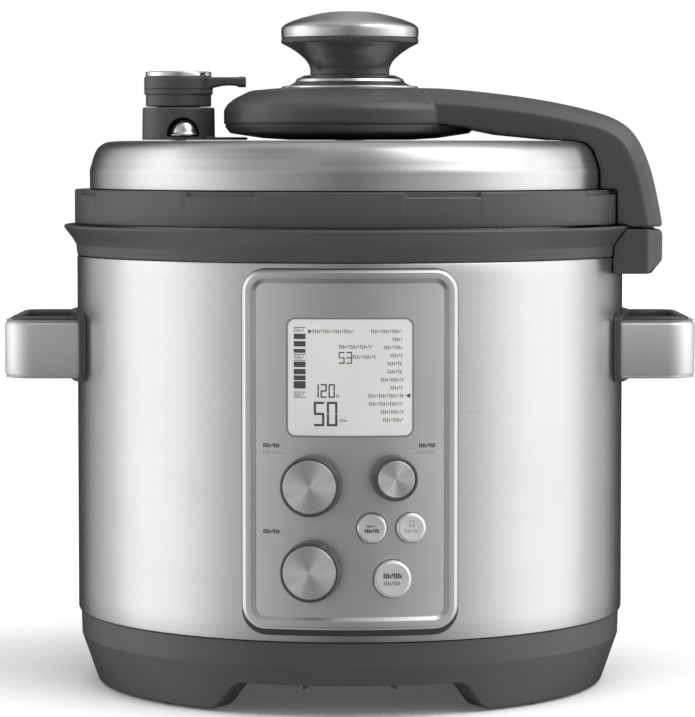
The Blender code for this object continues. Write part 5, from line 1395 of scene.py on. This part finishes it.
def make_hinge_block():
    low = levels("hinge_block")[0]
    inner = BODY_R - 12 * MM
    barrel = 4.2 * MM
    rise = arc_points(0, 49, 7, (HINGE_X, HINGE_Z), barrel)
    bend = [(ARM_OUT - 5.6 * MM, low, 1.5 * MM), (ARM_OUT - 0.1 * MM, low + 7 * MM, 2 * MM)]
    bend = filleted([(inner, low, 0), *bend, (*rise[0], 0)], 6)[1:-1]
    side = [(inner, BLOCK_TOP), (inner, low), *bend, *rise, (HINGE_X - 1 * MM, BLOCK_TOP)]
    stations = []
    for across, inset in ((-1, 8), (-0.854, 0), (0.854, 0), (1, 8)):
        stations.append((across * ARM_HALF, [(min(x, ARM_OUT - inset * MM), z) for x, z in side]))
    solid = loft([[(x, y, z) for x, z in outline] for y, outline in stations])
    body = [
        (0, 0),
        (BODY_R + FIT, 0),
        (BODY_R + FIT, WRAP_TOP),
        (BODY_R + 0.5 * MM + FIT, WRAP_TOP + 5.9 * MM),
        (BODY_R + 2.4 * MM + FIT, WRAP_TOP + 9 * MM),
        (BODY_R + 6.7 * MM + FIT, COLLAR_TOP - 1.2 * MM),
        (BODY_R + 6.7 * MM + FIT, BLOCK_TOP + 9 * MM),
        (0, BLOCK_TOP + 9 * MM),
    ]
    notch = block(
        (HINGE_X - barrel - 0.5 * MM, -25.6 * MM, HINGE_Z - barrel - 0.6 * MM),
        (ARM_OUT + 9 * MM, 25.6 * MM, BLOCK_TOP + 9 * MM),
    )
    hole = rod(2.4 * MM, -40.4 * MM, 40.4 * MM)
    turn = Matrix.Translation((HINGE_X, 0, HINGE_Z)) @ Matrix.Rotation(math.radians(90), 4, "X")
    bmesh.ops.transform(hole, matrix=turn, verts=hole.verts)
    whole = combined(solid, turned(body), notch, hole)
    piece("hinge_base", softened(whole, 0.6 * MM, 2), "plastic", "housing", "hinge_block", crease=50)


# ---- knob and lock ----------------------------------------------------------------------------
WINDOW_TURN = 74  # degrees that each window of the bayonet ring's plate takes up


def make_knob():
    lip = KNOB_LIP
    top_line = smooth_line(
        (
            (KNOB_R, lip + 4.6 * MM),
            (KNOB_R, lip + 7.6 * MM),
            (KNOB_R - 0.9 * MM, lip + 9.4 * MM),
            (KNOB_R - 4 * MM, lip + 11.3 * MM),
            (24 * MM, lip + 13.8 * MM),
            (12 * MM, lip + 16.4 * MM),
            (0, lip + 17 * MM),
        ),
        8,
    )
    band = lip + 3.5 * MM
    inside = [(r - 1.2 * MM, z - 1.1 * MM) for r, z in top_line if r > 6 * MM]
    cap = [(KNOB_R - 0.2 * MM, band), *top_line[1:-1], (0, lip + 17 * MM), (0, lip + 15.8 * MM)]
    cap += [*reversed(inside[2:]), (KNOB_R - 1.2 * MM, band)]
    piece("knob_top", turned(cap), "knob_steel", "lock", "knob_cap")
    neck = smooth_line(
        (
            (KNOB_R - 1 * MM, lip + 0.1 * MM),
            (30 * MM, lip - 2.1 * MM),
            (25.5 * MM, lip - 5.3 * MM),
            (22 * MM, lip - 8.8 * MM),
            (20.4 * MM, lip - 12.3 * MM),
            (20.4 * MM, HUB_TOP + 6.8 * MM),
        ),
        6,
    )
    body = [
        (0, lip + 8.6 * MM),
        (KNOB_R - 6 * MM, lip + 8.6 * MM),
        (KNOB_R - 1.6 * MM, lip + 6.4 * MM),
        (KNOB_R - 1.6 * MM, band - 0.2 * MM),
        (KNOB_R - 0.4 * MM, band - 0.2 * MM),
        (KNOB_R, band - 0.7 * MM),
        (KNOB_R, lip + 1 * MM),
        (KNOB_R - 0.4 * MM, lip + 0.35 * MM),
        *neck,
        (8.4 * MM, HUB_TOP + 6.8 * MM),
        (8.4 * MM, lip + 4 * MM),
        (0, lip + 4 * MM),
    ]
    piece("knob_grip", turned(body), "gloss_plastic", "lock", "knob_body")


def make_lock_ring():
    low, high = levels("lock_ring")
    outer = reach("lock_ring")
    inner = outer - 2.8 * MM
    hook_r = 119.9 * MM
    plate_low = high - 2.2 * MM

    def section(angle):
        hook = inner - 0.1 * MM - (inner - 0.1 * MM - hook_r) * near_tooth(angle, 180 / TEETH)
        corners = [
            (8.4 * MM, plate_low, 0.3 * MM),
            (inner, plate_low, 2 * MM),
            (inner, low + 3 * MM, 0.2 * MM),
            (hook, low + 3 * MM, 0.4 * MM),
            (hook, low, 0.4 * MM),
            (outer, low, 0.5 * MM),
            (outer, high, 2.4 * MM),
            (8.4 * MM, high, 0.3 * MM),
        ]
        return filleted(corners, 4)

    windows = []
    for window in range(4):
        start = 23 + window * 90
        outline = arc_points(start, WINDOW_TURN, 40, (0, 0), inner - 12 * MM)
        outline += arc_points(start + WINDOW_TURN, -WINDOW_TURN, 12, (0, 0), 22 * MM)
        windows.append(prism(outline, plate_low - 2 * MM, high + 3 * MM))
    ring = combined(turned(section, angles=tooth_angles(180 / TEETH)), *windows)
    piece("bayonet_ring", ring, "pot_steel", "lock", "lock_ring")


# ---- valve ------------------------------------------------------------------------------------
def make_valve():
    low, top = levels("valve_base")
    at = (VALVE_X, 0.0)
    seat = VALVE_R - 6.7 * MM
    wall = 3.2 * MM
    section = [
        (4.2 * MM, low),
        (VALVE_R, low),
        (VALVE_R - 0.2 * MM, top - 0.6 * MM),
        (VALVE_R - 0.8 * MM, top),
        (seat, top),
        (seat, top - 3 * MM),
        (VALVE_R - wall, top - 3 * MM),
        (VALVE_R - wall, low + 2 * MM),
        (4.2 * MM, low + 2 * MM),
    ]
    edge = VALVE_X + VALVE_R
    tongue = block((edge - 4 * MM, -12 * MM, low), (edge + 16.5 * MM, 12 * MM, low + 1.4 * MM), 0.6 * MM)
    base = combined(turned(section, at, MID_TURN_SIDES), tongue, operation="UNION")
    spout_x, spout_z = VALVE_X + 3 * MM, low + 1.6 * MM
    half, tall = 8.1 * MM, 8.8 * MM
    arch = [(spout_x - half, spout_z), (spout_x + half, spout_z)]
    for angle in (math.pi * step / 24 for step in range(25)):
        arch.append((spout_x + half * math.cos(angle), spout_z + 1 * MM + tall * math.sin(angle)))
    window = prism(arch, -VALVE_R - 5 * MM, -VALVE_R / 2, "Y")
    base = combined(base, window)
    piece("valve_tower", softened(base, 0.35 * MM, 1), "plastic", "lid", "valve_base", crease=50)
    spout_low, spout_top = levels("steam_spout")
    spout_y = middle_of("steam_spout").y
    bell = smooth_line(
        (
            (8.5 * MM, spout_low + 0.3 * MM),
            (7.7 * MM, spout_low + 1.2 * MM),
            (7 * MM, spout_low + 3.6 * MM),
            (5.9 * MM, spout_low + 6 * MM),
            (3.6 * MM, spout_top - 0.7 * MM),
            (0, spout_top),
        ),
        6,
    )
    bell = [(0, spout_low), (8.5 * MM, spout_low), *bell]
    piece("spout", turned(bell, (spout_x, spout_y), SMALL_TURN_SIDES), "polished", "lid", "steam_spout")
    make_valve_head(top, at, seat)


def make_valve_head(top, at, seat):
    head_low = top + FIT
    head_mid = head_low + 6 * MM
    head_top = levels("valve_head")[1]
    radius = reach("valve_cap", at) + 0.7 * MM
    section = [
        (0, top - 2.4 * MM, 0),
        (seat - RUN, top - 2.4 * MM, 0.3 * MM),
        (seat - RUN, head_low, 0.1 * MM),
        (radius - 0.8 * MM, head_low, 0.6 * MM),
        (radius - 0.8 * MM, head_mid, 0.2 * MM),
        (radius, head_mid + 0.4 * MM, 0.3 * MM),
        (radius, head_top, 0.5 * MM),
        (0, head_top, 0),
    ]
    head = turned(filleted(section, 4), at, MID_TURN_SIDES)
    near, far = VALVE_X + radius - 5 * MM, VALVE_X + 34.6 * MM
    loops = []
    for share in (k / 10 for k in range(11)):
        x = near + (far - near) * share
        half = 5.5 * MM + 3 * MM * (1 - share) ** 2 - (2 * MM * max(0, share - 0.85) / 0.15)
        deep = 5.2 * MM - 1.2 * MM * math.sin(math.pi * share) + 2.5 * MM * (1 - share) ** 3
        outline = rounded(2 * half, deep, 1.2 * MM, (0, head_top - 0.2 * MM - deep / 2), 5)
        loops.append([(x, u, v) for u, v in outline])
    whole = combined(head, loft(loops), operation="UNION")
    bead_r = 2.2 * MM
    bead = rod(bead_r, head_top - 5.4 * MM, head_top + 0.1 * MM, (far - bead_r, 0.0), 48, 1 * MM)
    whole = combined(whole, bead, operation="UNION")
    piece("valve_turret", softened(whole, 0.35 * MM, 1), "plastic", "steam_valve", "valve_head", crease=50)
    low, high = levels("valve_cap")
    cap_r = reach("valve_cap", at)
    cap = [
        (0, low - 0.3 * MM, 0),
        (cap_r, low - 0.3 * MM, 0.3 * MM),
        (cap_r, high - 0.2 * MM, 0.7 * MM),
        (cap_r - 2.4 * MM, high, 0.8 * MM),
        (cap_r - 4 * MM, high - 0.35 * MM, 0.8 * MM),
        (0, high - 0.35 * MM, 0),
    ]
    piece("valve_lid", turned(filleted(cap), at, MID_TURN_SIDES), "bright", "steam_valve", "valve_cap")
    groove = [(radius + 0.02 * MM, head_mid + 2.6 * MM), (radius + 0.02 * MM, head_mid + 3.5 * MM)]
    groove += [(radius - 0.6 * MM, head_mid + 3.5 * MM), (radius - 0.6 * MM, head_mid + 2.6 * MM)]
    piece("valve_band", turned(groove, at, MID_TURN_SIDES), "inner", "steam_valve", slot="dark_plastic")


# ---- pieces kept from the frame ---------------------------------------------------------------
CARRIED = {
    "lcd_module": "display",
    "display_board": "board",
    "power_board": "board",
    "heating_plate": "cast",
    "sensor_spring": "spring",
    "hinge_pin": "spring",
    "hinge_knuckle": "cast",
    "steam_pipe": "bright",
    "steam_filter": "bright",
    "knob_shaft": "bright",
    "shaft_circlip": "spring",
    "inner_lid_nut": "bright",
    "float_pin": "bright",
    "float_seal": "silicone",
    "sensor_plunger": "cast",
}
ROUND_CARRIED = (
    "steam_filter", "knob_shaft", "inner_lid_nut", "float_pin", "hinge_pin", "hinge_knuckle", "heating_plate",
)


def finish_carried():
    for node, look in CARRIED.items():
        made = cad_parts[node]
        made.data.materials.clear()
        made.data.materials.append(LOOKS[look])
        if node in ROUND_CARRIED:
            weld = made.modifiers.new("weld", "WELD")
            weld.merge_threshold = 0.01 * MM
            bevelled(made, 0.25 * MM, 2, 50)


# ---- studio -----------------------------------------------------------------------------------
CAMERA_PLACE = (-0.0012, -1.721, 0.274)
CAMERA_DOWN = 3.628  # degrees
CAMERA_LENS = 167.7
# angle from the front, and brightness: dim ahead, two broad softboxes at the sides, dark edges behind
STUDIO = (
    (0, 0.22), (20, 0.42), (45, 0.68), (58, 1.0), (68, 1.3), (78, 1.56), (96, 1.64), (106, 1.5),
    (116, 0.98), (128, 0.68), (138, 0.46), (146, 0.2), (156, 0.05), (166, 0.04), (180, 0.4),
)
CEILING_LIGHT = 0.62
SOFTBOX_TO = (0.56, -0.3, 0.77)  # toward a smaller softbox, up and to the right
SOFTBOX_LIGHT = 1.9
FLAG_TO = (-0.6, -0.3, 0.74)  # toward a dark flag, up and to the left
FLAG_SHADE = 0.5  # share of the light that it takes away
PANEL_LIGHT_AT = (0, -0.5, 2.3)
PANEL_LIGHT_TO = (0, 0, 0.1)
PANEL_LIGHT_POWER = 34


def make_world():
    """A studio seen only by reflections and diffuse light. The camera sees plain white behind the object."""
    world = bpy.data.worlds.new("studio")
    bpy.context.scene.world = world
    graph = Graph(world)
    graph.tree.nodes.clear()
    add, maths = graph.add, graph.math
    direction = add("ShaderNodeTexCoord").outputs["Generated"]
    x, y, z = add("ShaderNodeSeparateXYZ", {0: direction}).outputs
    angle = maths("ARCTAN2", maths("ABSOLUTE", x), maths("MULTIPLY", y, -1.0))
    ramp = add("ShaderNodeFloatCurve", {"Value": maths("DIVIDE", angle, math.pi)})
    curve = ramp.mapping.curves[0]
    most = max(light for _, light in STUDIO)
    while len(curve.points) < len(STUDIO):
        curve.points.new(0.5, 0.5)
    for point, (degrees, light) in zip(curve.points, STUDIO):
        point.location = (degrees / 180, light / most)
        point.handle_type = "AUTO_CLAMPED"
    ramp.mapping.update()
    round_about = maths("MULTIPLY", ramp.outputs[0], most)

    def span(value, start, end, low=0.0, high=1.0):
        limits = {"Value": value, "From Min": start, "From Max": end, "To Min": low, "To Max": high}
        return add("ShaderNodeMapRange", limits, interpolation_type="SMOOTHSTEP").outputs[0]

    def toward(target, start, end):
        aim = {0: direction, 1: Vector(target).normalized()}
        return span(add("ShaderNodeVectorMath", aim, operation="DOT_PRODUCT").outputs["Value"], start, end)

    climb = span(z, 0.5, 0.95)
    walls = maths("MULTIPLY", round_about, maths("SUBTRACT", 1.0, climb))
    light = maths("ADD", walls, maths("MULTIPLY", climb, CEILING_LIGHT))
    light = maths("ADD", light, maths("MULTIPLY", toward(SOFTBOX_TO, 0.86, 0.97), SOFTBOX_LIGHT))
    shadow = maths("MULTIPLY", toward(FLAG_TO, 0.84, 0.96), FLAG_SHADE)
    light = maths("MULTIPLY", light, maths("SUBTRACT", 1.0, shadow))
    light = maths("MULTIPLY", light, span(z, -0.5, -0.06, 0.5, 1.0))
    studio_light = add("ShaderNodeBackground", {"Color": (1, 0.995, 0.99, 1), "Strength": light})
    backdrop = add("ShaderNodeBackground", {"Color": (1, 1, 1, 1), "Strength": 1.0})
    seen = add("ShaderNodeLightPath").outputs["Is Camera Ray"]
    mixed = add("ShaderNodeMixShader", {0: seen, 1: studio_light.outputs[0], 2: backdrop.outputs[0]})
    add("ShaderNodeOutputWorld", {0: mixed.outputs[0]})


def make_floor():
    bm = bmesh.new()
    bmesh.ops.create_circle(bm, cap_ends=True, segments=96, radius=6)
    mesh = bpy.data.meshes.new("floor")
    bm.to_mesh(mesh)
    bm.free()
    made = Finish("floor_paper")
    fibres = made.noise(made.place, 300, 3, 0.6)
    made.colour(fibres, (0.93, 0.93, 0.93), (0.96, 0.96, 0.96))
    made.roughness(fibres, 0.6, 0.75)
    # Painted light: the floor glows at a strength of 0.07 within 0.3 m of the middle, rising to 0.45 from 2 m
    # out. This lightens the shade round the object's foot and whitens the floor further off.
    distance = made.add("ShaderNodeVectorMath", {0: made.place}, operation="LENGTH").outputs["Value"]
    made.shader.inputs["Emission Color"].default_value = (1, 1, 1, 1)
    made.tree.links.new(made.between(distance, 0.07, 0.45, 0.3, 2), made.shader.inputs["Emission Strength"])
    clear = made.add("ShaderNodeBsdfTransparent").outputs[0]
    under = made.add("ShaderNodeNewGeometry").outputs["Backfacing"]
    one_sided = made.add("ShaderNodeMixShader", {0: under, 1: made.shader.outputs[0], 2: clear})
    made.tree.links.new(one_sided.outputs[0], made.tree.nodes["Material Output"].inputs["Surface"])
    mesh.materials.append(made.material)
    floor = bpy.data.objects.new("floor", mesh)
    bpy.context.scene.collection.objects.link(floor)
    floor.visible_glossy = False


def make_lights():
    """One broad panel overhead and in front, which lights the floor and the tops of the pieces."""
    light = bpy.data.lights.new("overhead", "AREA")
    light.shape = "RECTANGLE"
    light.size, light.size_y = 2.4, 1.6
    light.energy = PANEL_LIGHT_POWER
    panel = bpy.data.objects.new("overhead", light)
    bpy.context.scene.collection.objects.link(panel)
    panel.location = PANEL_LIGHT_AT
    back = Vector(PANEL_LIGHT_AT) - Vector(PANEL_LIGHT_TO)
    panel.rotation_euler = back.to_track_quat("Z", "Y").to_euler()
    panel.visible_glossy = False


def make_camera():
    data = bpy.data.cameras.new("camera")
    data.lens = CAMERA_LENS
    data.sensor_width = 36
    data.clip_end = 50
    camera = bpy.data.objects.new("camera", data)
    camera.location = CAMERA_PLACE
    camera.rotation_euler = (math.radians(90 - CAMERA_DOWN), 0, 0)
    bpy.context.scene.collection.objects.link(camera)
    bpy.context.scene.camera = camera


make_camera()
make_world()
make_floor()
make_lights()
bpy.context.scene.view_settings.view_transform = "Standard"
make_base()
make_wrap()
make_collar()
make_pots()
make_handles()
make_panel()
make_dials()
make_buttons()
make_inlet()
make_lid_shells()
make_inner_lid()
make_arm()
make_hinge_block()
make_knob()
make_lock_ring()
make_valve()
finish_carried()
